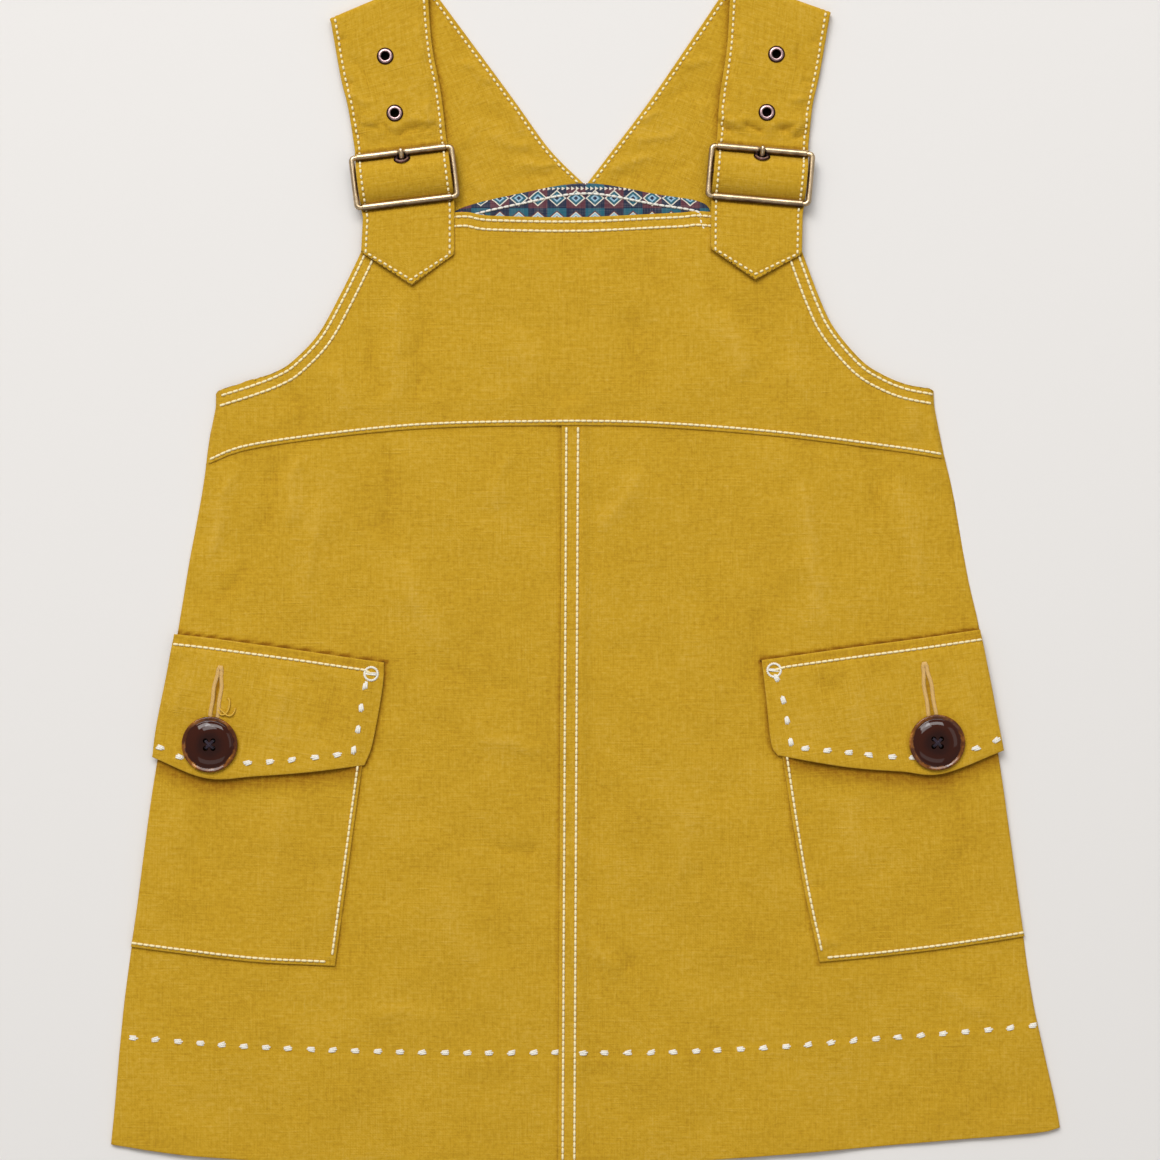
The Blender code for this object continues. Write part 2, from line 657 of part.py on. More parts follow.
def strap_height(y):
    """Middle height of the strap through the buckle: under one bar, over the centre bar, under the other."""
    up = STRAP_UNDER_TOP_BAR + (STRAP_CREST - STRAP_UNDER_TOP_BAR) * (
        1 - ease((y - CREST_HALF) / (BAR_SPREAD + PAST_BAR - CREST_HALF))
    )
    down = STRAP_UNDER_LOW_BAR + (STRAP_CREST - STRAP_UNDER_LOW_BAR) * (
        1 - ease((-y - CREST_HALF) / (BAR_SPREAD - CREST_HALF))
    )
    on_bib = STRAP_ON_BIB - STRAP_UNDER_LOW_BAR
    return np.where(y > 0, up, down + on_bib * ease((-y - BAR_SPREAD - PAST_BAR) / ONTO_BIB))


def strap_grid(side):
    """Rows of points along the middle of the strap's cloth, from the neck seam to the pointed end."""
    table = STRAP[side]
    columns = STRAP_COLUMNS
    outward = -1.0 if side == "left" else 1.0

    # Back leg, flat on the surface
    base = along(NECK_SEAM, seam_x(side), -GAP)
    fold = np.array([table["front_outer"][0], table["front_inner"][0]])
    across = (fold[1] - fold[0]) / np.linalg.norm(fold[1] - fold[0])
    beyond = np.array([across[1], -across[0]]) * outward
    roll = FOLD_RADIUS + STRAP_CLOTH / 2
    fold = fold - beyond * roll
    outer = run([base[0]] + table["back_outer"][1:-1] + [fold[0]], BACK_LEG_STEPS)
    # The inner edge has a corner where the two straps part
    inner = joined(
        run([base[-1], table["back_inner"][1]], 1),
        run(table["back_inner"][1:-1] + [fold[1]], BACK_LEG_STEPS - 1),
    )
    fold_row = np.linspace(fold[0], fold[1], columns + 1)
    back = patch(base, fold_row, outer, inner)
    rows = [np.column_stack([row, np.full(columns + 1, STRAP_ON_BACK)]) for row in back]

    # Shoulder fold, a half turn about a line level with the surface
    for angle in np.radians(np.linspace(-FOLD_TURN, FOLD_TURN, FOLD_ROWS)):
        reach = FOLD_RADIUS * math.cos(angle)
        height = STRAP_ON_BACK + FOLD_RADIUS * (1.0 + math.sin(angle))
        rows.append(np.column_stack([fold_row + beyond * reach, np.full(columns + 1, height)]))

    # Front leg down to the buckle
    half = table["half_width"]
    top_row = [buckle_point(side, hand * outward * half, BUCKLE_TOP_Y) for hand in (1, -1)]
    outer = run([fold[0]] + table["front_outer"][1:] + [top_row[0]], FRONT_LEG_STEPS)
    inner = run([fold[1]] + table["front_inner"][1:] + [top_row[1]], FRONT_LEG_STEPS)
    drop = STRAP_ON_BACK + 2 * FOLD_RADIUS - STRAP_UNDER_TOP_BAR
    for step, (first, last) in enumerate(zip(outer, inner)):
        height = STRAP_UNDER_TOP_BAR + (0.0 if step == FRONT_LEG_STEPS else drop)
        rows.append(np.column_stack([np.linspace(first, last, columns + 1), np.full(columns + 1, height)]))

    # Through the buckle, in rows level with its bars
    for y in np.arange(*BUCKLE_ROWS):
        ends = [buckle_point(side, hand * outward * half, y) for hand in (1, -1)]
        row = np.linspace(ends[0], ends[1], columns + 1)
        rows.append(np.column_stack([row, np.full(columns + 1, strap_height(y))]))

    # Over the bib to the pointed end
    shoulders = table["shoulders"]
    last = rows[-1][:, :2]
    shoulder_row = np.linspace(shoulders[0], shoulders[1], columns + 1)
    half_row = columns // 2
    point_row = joined(
        np.linspace(shoulders[0], table["point"], half_row + 1),
        np.linspace(table["point"], shoulders[1], half_row + 1),
    )
    for start, end in ((last, shoulder_row), (shoulder_row, point_row)):
        for share in np.linspace(0.0, 1.0, TIP_STEPS + 1)[1:]:
            row = start + (end - start) * share
            rows.append(np.column_stack([row, np.full(columns + 1, STRAP_ON_BIB)]))
    return np.stack(rows)


def strap(side, group, cutters):
    """One strap with its three holes."""
    sheet = lofted("strap_" + side, strap_grid(side), STRAP_CLOTH, 0.0)
    place(sheet, group, "ochre cloth")
    for number, (location, rotation) in enumerate(eyelet_places(side), start=1):
        cutter = cylinder(f"strap_hole_{side}_{number}", EYELET_BARREL + GAP, EYELET_CUT, EYELET_SIDES)
        cutter.location = location
        cutter.rotation_euler = rotation
        place(cutter, cutters)
        boolean(sheet, cutter, "DIFFERENCE")
    return sheet


# Eyelets, buckles and buttons ----------------------------------------------------------------------


def eyelet_places(side):
    """Location and rotation of each eyelet: two lie flat and the last one slopes with the strap."""
    flat = STRAP_ON_BACK + 2 * FOLD_RADIUS
    places = [(Vector((x, y, flat)) * MM, (0.0, 0.0, 0.0)) for x, y in STRAP[side]["eyelets"]]
    step = 0.05
    y = EYELET_IN_USE_Y
    slope = (strap_height(y + step) - strap_height(y - step)) / (2 * step)
    x_place, y_place = buckle_point(side, 0.0, y)
    location = Vector((x_place, y_place, float(strap_height(y)))) * MM
    places.append((location, (math.atan(float(slope)), 0.0, math.radians(BUCKLE_TILT[side]))))
    return places


def eyelets(side, group):
    """Metal eyelets: a barrel through the cloth, a rolled rim above it and a washer below."""
    for number, (location, rotation) in enumerate(eyelet_places(side), start=1):
        near = STRAP_CLOTH / 2 + GAP
        if number == 3:
            near += EYELET_IN_USE_SLACK
        top = near + EYELET_RIM
        profile = [
            (EYELET_HOLE, -top),
            (EYELET_WASHER, -top),
            (EYELET_WASHER, -near),
            (EYELET_BARREL, -near),
            (EYELET_BARREL, near),
            (EYELET_TOP, near),
            (EYELET_TOP - EYELET_ROUND, top - EYELET_ROUND / 2),
            (EYELET_HOLE + EYELET_LIP, top),
            (EYELET_HOLE, near),
        ]
        ring = turned(f"eyelet_{side}_{number}", profile, EYELET_SIDES)
        ring.location = location
        ring.rotation_euler = rotation
        place(ring, group, "copper bronze")


def buckle(side, group, cutters):
    """Frame with its centre bar, two rollers, the prong, and the cloth tab that holds the centre bar."""
    seat = bpy.data.objects.new("buckle_" + side, None)
    x, y = BUCKLE_PLACE[side]
    seat.location = Vector((x, y, BAR_Z)) * MM
    seat.rotation_euler.z = math.radians(BUCKLE_TILT[side])
    group.objects.link(seat)

    # Wire frame: a rounded rectangle round the two long bars
    reach = (BUCKLE_WIDTH / 2 - FRAME_CORNER, BAR_SPREAD - FRAME_CORNER)
    route = []
    for quarter, corner in enumerate(((1, 1), (-1, 1), (-1, -1), (1, -1))):
        for step in range(FRAME_CORNER_STEPS + 1):
            angle = math.radians(90.0 * (quarter + step / FRAME_CORNER_STEPS))
            x = corner[0] * reach[0] + FRAME_CORNER * math.cos(angle)
            y = corner[1] * reach[1] + FRAME_CORNER * math.sin(angle)
            route.append((x, y, 0.0))
    frame = as_mesh(wire("buckle_frame_" + side, route, [WIRE_RADIUS] * len(route), True))
    place(frame, group, "antique brass")
    bar = cylinder("centre_bar_" + side, BAR_RADIUS, BUCKLE_WIDTH, SMALL_SIDES)
    bar.rotation_euler.y = math.pi / 2
    place(bar, cutters)
    boolean(frame, bar, "UNION")

    # Rollers
    tube = [(ROLLER_INNER, -1), (ROLLER_OUTER, -1), (ROLLER_OUTER, 1), (ROLLER_INNER, 1)]
    tube = [(radius, end * ROLLER_LENGTH / 2) for radius, end in tube]
    rollers = []
    for name, height in (("top", BAR_SPREAD), ("bottom", -BAR_SPREAD)):
        roller = turned(f"roller_{name}_{side}", tube, ROLLER_SIDES)
        roller.location.y = height * MM
        roller.rotation_euler.y = math.pi / 2
        place(roller, group, "antique brass")
        rollers.append(roller)

    # Prong: an eye round the centre bar, then up through the eyelet and over the top roller
    eye = BAR_RADIUS + GAP + PRONG_EYE_WIRE
    route = []
    radii = []
    for turn in np.radians(np.linspace(270.0 - PRONG_EYE_TURN, 270.0, PRONG_EYE_STEPS + 1)):
        route.append((0.0, eye * math.cos(turn), eye * math.sin(turn)))
        radii.append(PRONG_EYE_WIRE)
    needle = run([(0.0, -eye)] + PRONG_RUN, PRONG_STEPS)
    for step, (y, z) in enumerate(needle[1:], start=1):
        route.append((0.0, y, z))
        radii.append(min(PRONG_RADIUS, PRONG_EYE_WIRE + PRONG_GROWTH * step))
    radii[-1] = PRONG_EYE_WIRE
    prong = wire("prong_" + side, route, radii, False)
    place(prong, group, "antique brass")

    # Cloth tab, seen from its end: an eye round the centre bar and a tail under the bib
    floor = FACING_Z - BAR_Z
    tail = [(-3.4, -0.6), (-5.6, -2.2), (-8.3, floor + CLOTH), (TAB_TAIL_END, floor + CLOTH)]
    tail += [(TAB_TAIL_END, floor), (-8.0, floor), (-4.7, -3.0)]
    angles = np.radians(np.linspace(*TAB_EYE_TURN, TAB_EYE_STEPS + 1))
    eye_outer = [(TAB_EYE_OUTER * math.cos(a), TAB_EYE_OUTER * math.sin(a)) for a in angles]
    ring = np.radians(np.linspace(0.0, 360.0, TAB_EYE_STEPS, endpoint=False))
    eye_inner = [(TAB_EYE_INNER * math.cos(a), TAB_EYE_INNER * math.sin(a)) for a in ring]
    tab = as_mesh(outline("buckle_tab_" + side, [eye_outer + tail, eye_inner], TAB_WIDTH))
    # The outline's own axes become the dress's y and z, and its thickness runs along x
    tab.data.transform(Matrix(((0, 0, 1, 0), (1, 0, 0, 0), (0, 1, 0, 0), (0, 0, 0, 1))))
    place(tab, group, "ochre cloth")
    slot = block("prong_slot_" + side, *TAB_SLOT)
    place(slot, cutters)
    boolean(tab, slot, "DIFFERENCE")

    for child in [frame, bar, prong, tab, slot] + rollers:
        child.parent = seat


def button(side, group, cutters):
    """A domed four-hole button on a short shank of thread that stands in the buttonhole."""
    x, y = BUTTON_PLACE[side]
    disc = turned("button_" + side, BUTTON_SECTION, BUTTON_SIDES)
    disc.location = Vector((x, y, BUTTON_Z)) * MM
    place(disc, group, "tortoiseshell")
    for number in range(4):
        angle = math.radians(45.0 + 90.0 * number)
        hole = cylinder(f"button_hole_{side}_{number + 1}", BUTTON_HOLE_RADIUS, BUTTON_CUT, SMALL_SIDES)
        reach = BUTTON_HOLE_SPREAD * math.sqrt(2.0)
        place_x = x + reach * math.cos(angle)
        place_y = y + reach * math.sin(angle)
        hole.location = Vector((place_x, place_y, BUTTON_Z)) * MM
        place(hole, cutters)
        boolean(disc, hole, "DIFFERENCE")
    height = BUTTON_Z - FLAP_Z - GAP
    shank = cylinder("button_thread_" + side, SHANK_RADIUS, height, SMALL_SIDES)
    shank.location = Vector((x, y, FLAP_Z + height / 2)) * MM
    place(shank, group, "thread")


def main():
    """Build the whole dress."""
    clear_scene()
    dress = collection("pinafore dress")
    cutters = collection("cutters")
    back_panel(dress)
    back_facing(dress)
    skirt_left(dress)
    skirt_right(dress)
    front_bib(dress)
    for side in ("left", "right"):
        pocket(side, dress)
        flap(side, dress, cutters)
        button(side, dress, cutters)
        strap(side, dress, cutters)
        eyelets(side, dress)
        buckle(side, dress, cutters)


main()
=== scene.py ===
"""Looks of a child's pinafore dress that lies flat on its back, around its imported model.

Laid out as an add-on and run as a script. +X is to the right as the dress is looked at, +Y runs from the
hem to the straps and +Z is up. Tables and sizes are in millimetres, and meshes are made in metres.
"""

import math

import bmesh
import bpy
import numpy as np
from bpy.props import FloatProperty, FloatVectorProperty, PointerProperty
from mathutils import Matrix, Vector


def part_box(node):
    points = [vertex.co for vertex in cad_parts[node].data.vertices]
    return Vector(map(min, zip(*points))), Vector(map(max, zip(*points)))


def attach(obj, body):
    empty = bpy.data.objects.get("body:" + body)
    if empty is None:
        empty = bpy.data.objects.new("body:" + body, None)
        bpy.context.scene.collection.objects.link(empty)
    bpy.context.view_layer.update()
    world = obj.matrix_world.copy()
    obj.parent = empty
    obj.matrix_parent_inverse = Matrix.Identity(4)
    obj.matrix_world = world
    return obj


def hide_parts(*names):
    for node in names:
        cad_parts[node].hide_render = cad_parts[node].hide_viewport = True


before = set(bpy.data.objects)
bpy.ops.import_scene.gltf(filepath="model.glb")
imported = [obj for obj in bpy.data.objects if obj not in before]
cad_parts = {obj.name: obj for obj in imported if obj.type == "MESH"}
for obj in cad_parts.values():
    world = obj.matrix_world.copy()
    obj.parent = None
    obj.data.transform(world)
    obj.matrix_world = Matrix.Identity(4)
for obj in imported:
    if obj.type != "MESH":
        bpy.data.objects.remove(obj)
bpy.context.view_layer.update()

bl_info = {
    "name": "Pinafore Dress Laid Flat",
    "version": (1, 0, 0),
    "blender": (4, 5, 0),
    "location": "3D View > Sidebar > Pinafore",
    "description": "Linen pinafore dress with buckled straps, flap pockets and hand stitching",
    "category": "Add Mesh",
}

MM = 0.001
BODY = "root"
LINEN_SLOT = "ochre_cloth"
UP = np.array([0.0, 0.0, 1.0])
SIDES = ("left", "right")
OUTWARD = {"left": -1.0, "right": 1.0}

# Cut of the dress ----

# Side seams, from the underarm down to the hem. Columns: x, y
SIDE = {
    "left": [
        (-155.3, 75.6), (-155.3, 69.5), (-158.2, 55.2), (-160.7, 36.1), (-166.1, 6.9), (-171.2, -24.2),
        (-176.8, -60), (-182.5, -95.6), (-188, -137.6), (-193.8, -179.6), (-197.6, -221.6),
        (-199.4, -240.5),
    ],
    "right": [
        (146.3, 76.8), (146.7, 69.5), (150.6, 50), (155, 31.3), (160.8, -2.1), (165.7, -24.2),
        (170.9, -60), (176.2, -95.6), (182.1, -137.6), (188, -179.6), (197.2, -221.6),
        (199.4, -233.3),
    ],
}  # fmt: skip
# Hem, from the left corner to the right one. Columns: x, y
HEM = [
    (-199.4, -240.5), (-166.5, -245.1), (-120, -248.2), (-60, -250), (0, -249.8), (53.1, -246.9),
    (100, -243.2), (150, -238.9), (190, -235.5), (199.4, -233.3),
]  # fmt: skip
# Yoke seam, where the bib is stitched over the skirt. Columns: x, y
YOKE = [
    (-160, 46.6), (-141.3, 53.5), (-99.8, 59.4), (-62.4, 62.6), (-8.6, 63.6), (31.3, 62.8), (81.1, 59),
    (130.8, 52.7), (152, 49.4),
]  # fmt: skip
# Armholes, from the underarm up to the hidden top corner of the bib. Columns: x, y
ARMHOLE = {
    "left": [
        (-155.3, 75.6), (-141.3, 80), (-130.4, 84.2), (-122.9, 88.8), (-112.4, 99.8), (-103.1, 116.5),
        (-94.3, 134.6), (-89.5, 147),
    ],
    "right": [
        (146.3, 76.8), (135, 79), (125.1, 83), (116, 89), (104.8, 102), (98.5, 114.5),
        (91.4, 133.4), (86.5, 147),
    ],
}  # fmt: skip
# Top edge of the bib. Columns: x, y
BIB_TOP = [
    (-89.5, 147), (-53.7, 151.2), (-39.3, 149.7), (0, 149.3), (37.6, 151), (51, 151.6), (86.5, 147)
]  # fmt: skip
# Top edge of the back neck facing. Columns: x, y
NECK = [
    (-93, 137), (-75, 139.5), (-59, 144), (-53.7, 152.5), (-27.1, 159.4), (0.6, 163.6),
    (29.5, 159), (50.2, 154.9), (54.6, 145.5), (72, 140.5), (90, 137),
]  # fmt: skip
# Seam of the back panel and the back straps, under the facing. Columns: x, y
NECK_SEAM = [
    (-93, 132.5), (-60, 140), (-27.1, 153.5), (0, 159.4), (27, 153.5), (60, 139.5), (90, 132.5)
]  # fmt: skip
# Lower edge of the facing, hidden by the bib. Columns: x, y
FACING_LOWER = [(-93.0, 106.0), (0.0, 121.0), (90.0, 106.0)]
# How far the bib reaches below the yoke seam and the skirt above it, and the back inside the side seams
YOKE_UNDER = 1.9
YOKE_OVER = 5.0
SIDE_INSET = 0.8

# Centre front: the right half of the skirt laps over the left one
LAP_EDGE_TOP_X = -10.0
LAP_EDGE_HEM_X = -11.6
LAP_WIDTH = 8.6

# Patch pockets. Columns: x, y
POCKET_TOP_Y = -44.0
POCKET_INNER = {
    "left": [(-88.6, -44), (-93.9, -82.1), (-100.2, -128.6), (-105.2, -165.4)],
    "right": [(78.8, -44), (82.9, -78.3), (90.6, -127), (98.3, -163.6)],
}
POCKET_BOTTOM = {
    "left": [(-105.2, -165.4), (-137.6, -163.6), (-169.9, -160), (-191, -157.3)],
    "right": [(98.3, -163.6), (124.9, -161.1), (150.6, -158), (184.5, -152.9)],
}

# Pocket flaps. Each edge has columns x, y; top and bottom run outwards, the sides run down
FLAP = {
    "left": {
        "top": [(-84.5, -37.8), (-97.7, -35.9), (-123.8, -32.1), (-157.7, -27.5), (-172.6, -25.8)],
        "bottom": [(-92.7, -80.9), (-116.3, -83.8), (-138.8, -85.5), (-159.1, -86.3), (-181.9, -77.5)],
        "inner": [(-84.5, -37.8), (-85.2, -48.9), (-89.3, -71.6), (-92.7, -80.9)],
        "outer": [(-172.6, -25.8), (-176.3, -45.2), (-180.1, -64.1), (-181.9, -77.5)],
    },
    "right": {
        "top": [(74, -36.8), (109.8, -31.7), (139.9, -27.7), (165.7, -23.9)],
        "bottom": [(80.6, -76.8), (109.8, -81.7), (132.4, -83.5), (149.6, -84.4), (175.5, -74.6)],
        "inner": [(74, -36.8), (75.8, -52.7), (77.9, -71.6), (80.6, -76.8)],
        "outer": [(165.7, -23.9), (169.9, -45.2), (173.7, -65.6), (175.5, -74.6)],
    },
}
BUTTONHOLE_TOP = {"left": (-153.1, -40.8), "right": (142.2, -39.3)}

# Straps: back leg up from the neck seam, shoulder fold, front leg down to the buckle and the point
STRAP = {
    "left": {
        "seam": (-91, -0.2),
        "back_outer": [(-90.5, 160), (-93, 185), (-98.5, 210)],
        "back_inner": [(-0.4, 163.2), (-15.1, 177.9), (-31.3, 200.3)],
        "front_outer": [(-107.6, 232.7), (-102.9, 208.3), (-99.8, 195.5)],
        "front_inner": [(-67.2, 249.8), (-64.5, 222), (-60.7, 201.8)],
        "half_width": 19.4,
        "shoulders": ((-94.1, 134.4), (-54.9, 133.5)),
        "point": (-72.9, 120.3),
    },
    "right": {
        "seam": (88, 0.4),
        "back_outer": [(88, 160), (89.5, 182), (94.5, 208)],
        "back_inner": [(0.4, 163.2), (13.4, 180.2), (29.5, 201.9)],
        "front_outer": [(103.2, 235.4), (98.5, 209.9), (95.4, 196)],
        "front_inner": [(61.6, 250.1), (59.5, 222), (56.3, 199.5)],
        "half_width": 19.3,
        "shoulders": ((90.8, 133.5), (52.5, 135.7)),
        "point": (71.2, 122.6),
    },
}
BUCKLE_TILT = {"left": 7.0, "right": -5.0}
BAR_SPREAD = 10.5

# Heights of the cloth's upper faces and of the strap's middle
BACK_FACE = 0.85
FACING_FACE = 2.4
SKIRT_FACE = 2.2
POCKET_FACE = 3.35
BIB_FACE = 3.7
FLAP_FACE = 4.75
STRAP_CLOTH = 1.2
# Half of the thickness of a panel, and of a flap or a tab
HALF_CLOTH = 0.4
HALF_DOUBLED = 0.42
STRAP_STEP = 0.85
STRAP_ON_BACK = 0.6
STRAP_ON_BACK_LEG = 2.2
STRAP_ON_BIB = 4.7
# The strap's middle through the buckle, from the point's side over the centre bar. Columns: y, height
STRAP_RUN = [
    (-15, 4.7), (-13.4, 4.6), (-12, 3.95), (-10.5, 3.4), (-9.3, 3.8), (-8.3, 5), (-7.2, 6.2), (-5.4, 7.4),
    (-2.9, 8.35), (0, 8.65), (2.9, 8.6), (4.9, 8.1), (6.3, 7), (7.4, 5.6), (8.5, 4.2), (9.4, 3.5),
    (10.5, 3.1), (12.6, 2.6), (15, 2.2),
]  # fmt: skip
FOLD_RADIUS = 1.4
# How far from the centre bar the strap starts to follow the buckle
BUCKLE_REACH = 15.0

# From the uppermost one down. The third is in use, under the prong
EYELETS = (1, 2, 3)
EYELET_BORE = 1.62
EYELET_IN_USE_Y = 7.1

# How far inside an edge the grid has its close lines, for rolled edges and stitched valleys
EDGE_LINES = (0.0, 1.0, 1.5, 2.0, 2.5, 3.1, 3.8, 4.6, 5.3, 5.9, 6.5, 7.2, 8.2)
STITCH_INSIDE = 2.0
SECOND_ROW = 5.9
POCKET_ROW = 1.8
LAP_ROWS = (STITCH_INSIDE, LAP_WIDTH - 1.7)
# How much deeper the colour is on a row of stitches: painted shade in the valley that the row draws in
ROW_SHADE = 0.25

# Creases ----

CREASE_STRENGTH = 2.6
STRAP_CREASE_STRENGTH = 3.8
# How much lighter a crease's ridge is, partly faded and partly painted light, and how much darker its trough
# is, painted shade, for each millimetre of its height
CREASE_LIGHT_AND_SHADE = 0.7
# How strongly cloth seen only through a hole of an eyelet or a button gets painted shade, nearly black
HOLE_SHADE = 9.0

# Columns: x and y of the start, x and y of the end, half width, height (below 0 is a trough)
BIB_CREASES = [
    (-92, 104, -84, 72, 3.2, -0.3), (-79, 118, -80, 70, 4.5, 0.34),
    (-66, 116, -74, 66, 3.4, -0.26), (-107, 88, -101, 62, 2.8, 0.3),
    (-124, 80, -119, 58, 2.4, -0.28), (-28, 104, -22, 76, 5, 0.22),
    (17, 110, 23, 74, 4.5, -0.2), (58, 112, 68, 78, 4.2, 0.36),
    (50, 128, 76, 92, 3.4, -0.24), (86, 112, 92, 70, 3.6, 0.3),
    (120, 84, 124, 60, 2.6, -0.3), (134, 75, 138, 55, 2.4, 0.26),
]  # fmt: skip
SKIRT_CREASES = [
    (-130, 50, -136, 14, 3, -0.32), (-120, 52, -124, 20, 3.4, 0.42),
    (-107, 46, -120, -12, 4.4, 0.3), (-84, 58, -81, 4, 3.6, -0.3),
    (-80, 6, -60, -34, 4.2, 0.34), (-148, 44, -160, 6, 3.2, 0.4),
    (-139, 6, -156, -16, 3.4, -0.3), (-66, -37, -28, -50, 4, -0.24),
    (-48, -71, -15, -75, 2.8, 0.34), (-42, -114, -19, -118, 2.6, -0.28),
    (-92, -184, -56, -188, 3.2, 0.26), (-60, -130, -48, -170, 6, 0.24),
    (23, 44, 6, 14, 3.4, 0.3), (48, 13, 57, -29, 5, -0.26),
    (89, 44, 100, -28, 4, 0.44), (115, 54, 124, 22, 3, -0.32),
    (132, 44, 141, -12, 3.6, 0.38), (74, -10, 66, -54, 4.6, -0.24),
    (2, -154, 14, -168, 2.6, 0.3), (14, -168, 20, -160, 2.2, -0.26),
    (44, -90, 38, -140, 6, 0.26), (152, 40, 158, 2, 2.6, -0.26),
    (150, -176, 172, -186, 2.4, 0.3), (-34, 52, -38, 26, 3, 0.26),
]  # fmt: skip
POCKET_CREASES = [
    (-126, -90, -133, -134, 5, 0.26), (-160, -92, -168, -140, 4.4, -0.2),
    (-108, -120, -112, -156, 3.4, 0.24), (-102, -112, -96, -114, 1.6, -0.22),
    (-106, -143, -100, -145, 1.6, -0.24), (112, -90, 116, -130, 4.6, 0.26),
    (152, -88, 160, -128, 5, -0.2), (88, -104, 95, -103, 1.6, -0.24),
    (92, -133, 99, -131, 1.6, -0.24), (96, -152, 108, -156, 2.2, 0.3),
]  # fmt: skip
FLAP_CREASES = [
    (-125, -42, -133, -74, 4.2, 0.34), (-105, -46, -110, -70, 3.4, -0.24),
    (-168, -36, -172, -62, 3, 0.3), (-118, -64, -106, -76, 3, 0.26),
    (96, -42, 104, -52, 3.4, -0.26), (112, -40, 118, -74, 4, 0.34),
    (158, -36, 166, -66, 3.2, 0.28), (92, -58, 98, -74, 3, 0.22),
]  # fmt: skip
FRONT_STRAP_CREASES = {
    "left": [
        (-99, 184.6, -91, 182.4, 1.2, -0.26), (-93, 186.6, -84, 184.2, 1.3, -0.27),
        (-79, 184, -71, 187.4, 1.2, -0.26), (-70, 185, -61, 188.4, 1.2, -0.25),
        (-97, 188.6, -88, 186.4, 1.1, 0.22), (-73, 189.6, -63, 191.6, 1.2, 0.22),
        (-66, 198, -62, 187, 1.2, 0.28), (-100, 200, -90, 196, 1.5, 0.24),
        (-96, 216, -91, 206, 1.6, -0.24), (-70, 232, -69, 212, 1.8, 0.24),
        (-100, 191, -92, 186, 1.1, -0.2), (-94, 192, -86, 185, 1, 0.2),
        (-88, 189, -80, 184, 1.1, -0.22), (-81, 186, -75, 189, 1, 0.2),
        (-74, 185, -66, 190, 1.1, -0.2), (-69, 184, -60, 189, 1, 0.22),
        (-101, 206, -97, 203, 1, -0.2), (-64, 206, -60, 202, 1, -0.2),
        (-66, 224, -62, 221, 1.1, -0.18), (-104, 226, -99, 223, 1.1, -0.2),
    ],
    "right": [
        (57, 188, 65, 185, 1.2, -0.25), (67, 187.4, 74, 184.2, 1.2, -0.26),
        (79, 184.6, 87, 186.8, 1.3, -0.27), (86, 183, 94.5, 185.6, 1.2, -0.25),
        (60, 191.4, 69, 189.4, 1.2, 0.22), (81, 188.8, 91, 190.6, 1.1, 0.22),
        (61, 198, 58, 189, 1.2, 0.28), (86, 200, 93, 196, 1.5, 0.24),
        (88, 222, 94, 208, 1.6, -0.24), (64, 230, 64, 212, 1.8, 0.24),
        (56, 190, 63, 186, 1.1, -0.2), (60, 192, 68, 186, 1, 0.2),
        (66, 189, 73, 184, 1.1, -0.2), (76, 186, 82, 190, 1, 0.2),
        (81, 185, 89, 190, 1.1, -0.22), (86, 186, 95, 192, 1, 0.22),
        (56, 204, 61, 202, 1, -0.2), (91, 208, 95, 204, 1, -0.2),
        (60, 226, 65, 223, 1.1, -0.18), (94, 224, 98, 221, 1.1, -0.2),
    ],
}  # fmt: skip
BACK_STRAP_CREASES = {
    "left": [
        (-34, 166, -12, 165.4, 1.2, -0.26), (-30, 172, -10, 170.8, 1.4, 0.3),
        (-42, 182, -22, 180, 1.8, 0.26), (-46, 196, -34, 188, 1.6, -0.28),
        (-52, 214, -40, 206, 1.8, 0.26), (-58, 232, -50, 214, 2, -0.24),
        (-52, 168, -38, 160, 2, 0.26), (-26, 186, -33, 196, 1.3, 0.22),
        (-20, 174, -27, 177, 1.1, -0.22), (-52, 178, -46, 190, 1.6, 0.22),
    ],
    "right": [
        (7, 165.2, 28, 166.6, 1.2, -0.28), (28, 166.6, 44, 174, 1.6, -0.3),
        (10, 171, 30, 173.6, 1.4, 0.3), (20, 182, 40, 186, 1.8, 0.26),
        (33, 198, 46, 204, 1.5, -0.28), (40, 214, 54, 218, 1.8, 0.26),
        (47, 228, 56, 236, 1.8, -0.24), (24, 190, 34, 194, 1.2, 0.22),
        (46, 186, 50, 198, 1.6, 0.22),
    ],
}  # fmt: skip

# Stitching ----

# Hand stitches: ends of each run and how many stitches it has. Columns: points (x, y), count
HEM_PICKS = [
    ([(-190, -195.6), (-153, -198.4), (-117, -200.2), (-78, -201.4), (-40, -201.8), (-12.4, -201.6)], 20),
    ([(-1.1, -201.8), (35, -201.4), (74, -199.8), (113, -196.6), (151, -193.6), (187.9, -190.3)], 21),
]  # fmt: skip
FLAP_PICKS = {
    "left": [
        ([(-92.3, -47.5), (-93.9, -56.1), (-95.3, -65.6), (-97.2, -74.5)], 4),
        ([(-104.1, -76.4), (-123.3, -78.5), (-142.2, -79.8), (-160, -79.6), (-169.7, -77.4),
          (-178.4, -73.4)], 9),
    ],
    "right": [
        ([(80.3, -44.6), (82.9, -53.4), (84.6, -62.2), (86.1, -71.2)], 4),
        ([(92.2, -73.7), (110.8, -75.5), (129.2, -77.3), (150, -76.8), (166.1, -72.9), (172.2, -70.2)], 10),
    ],
}  # fmt: skip
FLAP_RING = {"left": (-89.9, -42.5), "right": (79.2, -41.0)}
RING_RADIUS = 2.75
FLAP_ROW_INSIDE = 4.2

# Height and width of one repeat of the printed cloth
PRINT_REPEAT = 17.0
PRINT_WIDTH = 8.0


# Settings ----


def length_property(name, default, description):
    """A length in metres."""
    return FloatProperty(
        name=name, default=default, min=0.0, unit="LENGTH", precision=5, description=description
    )


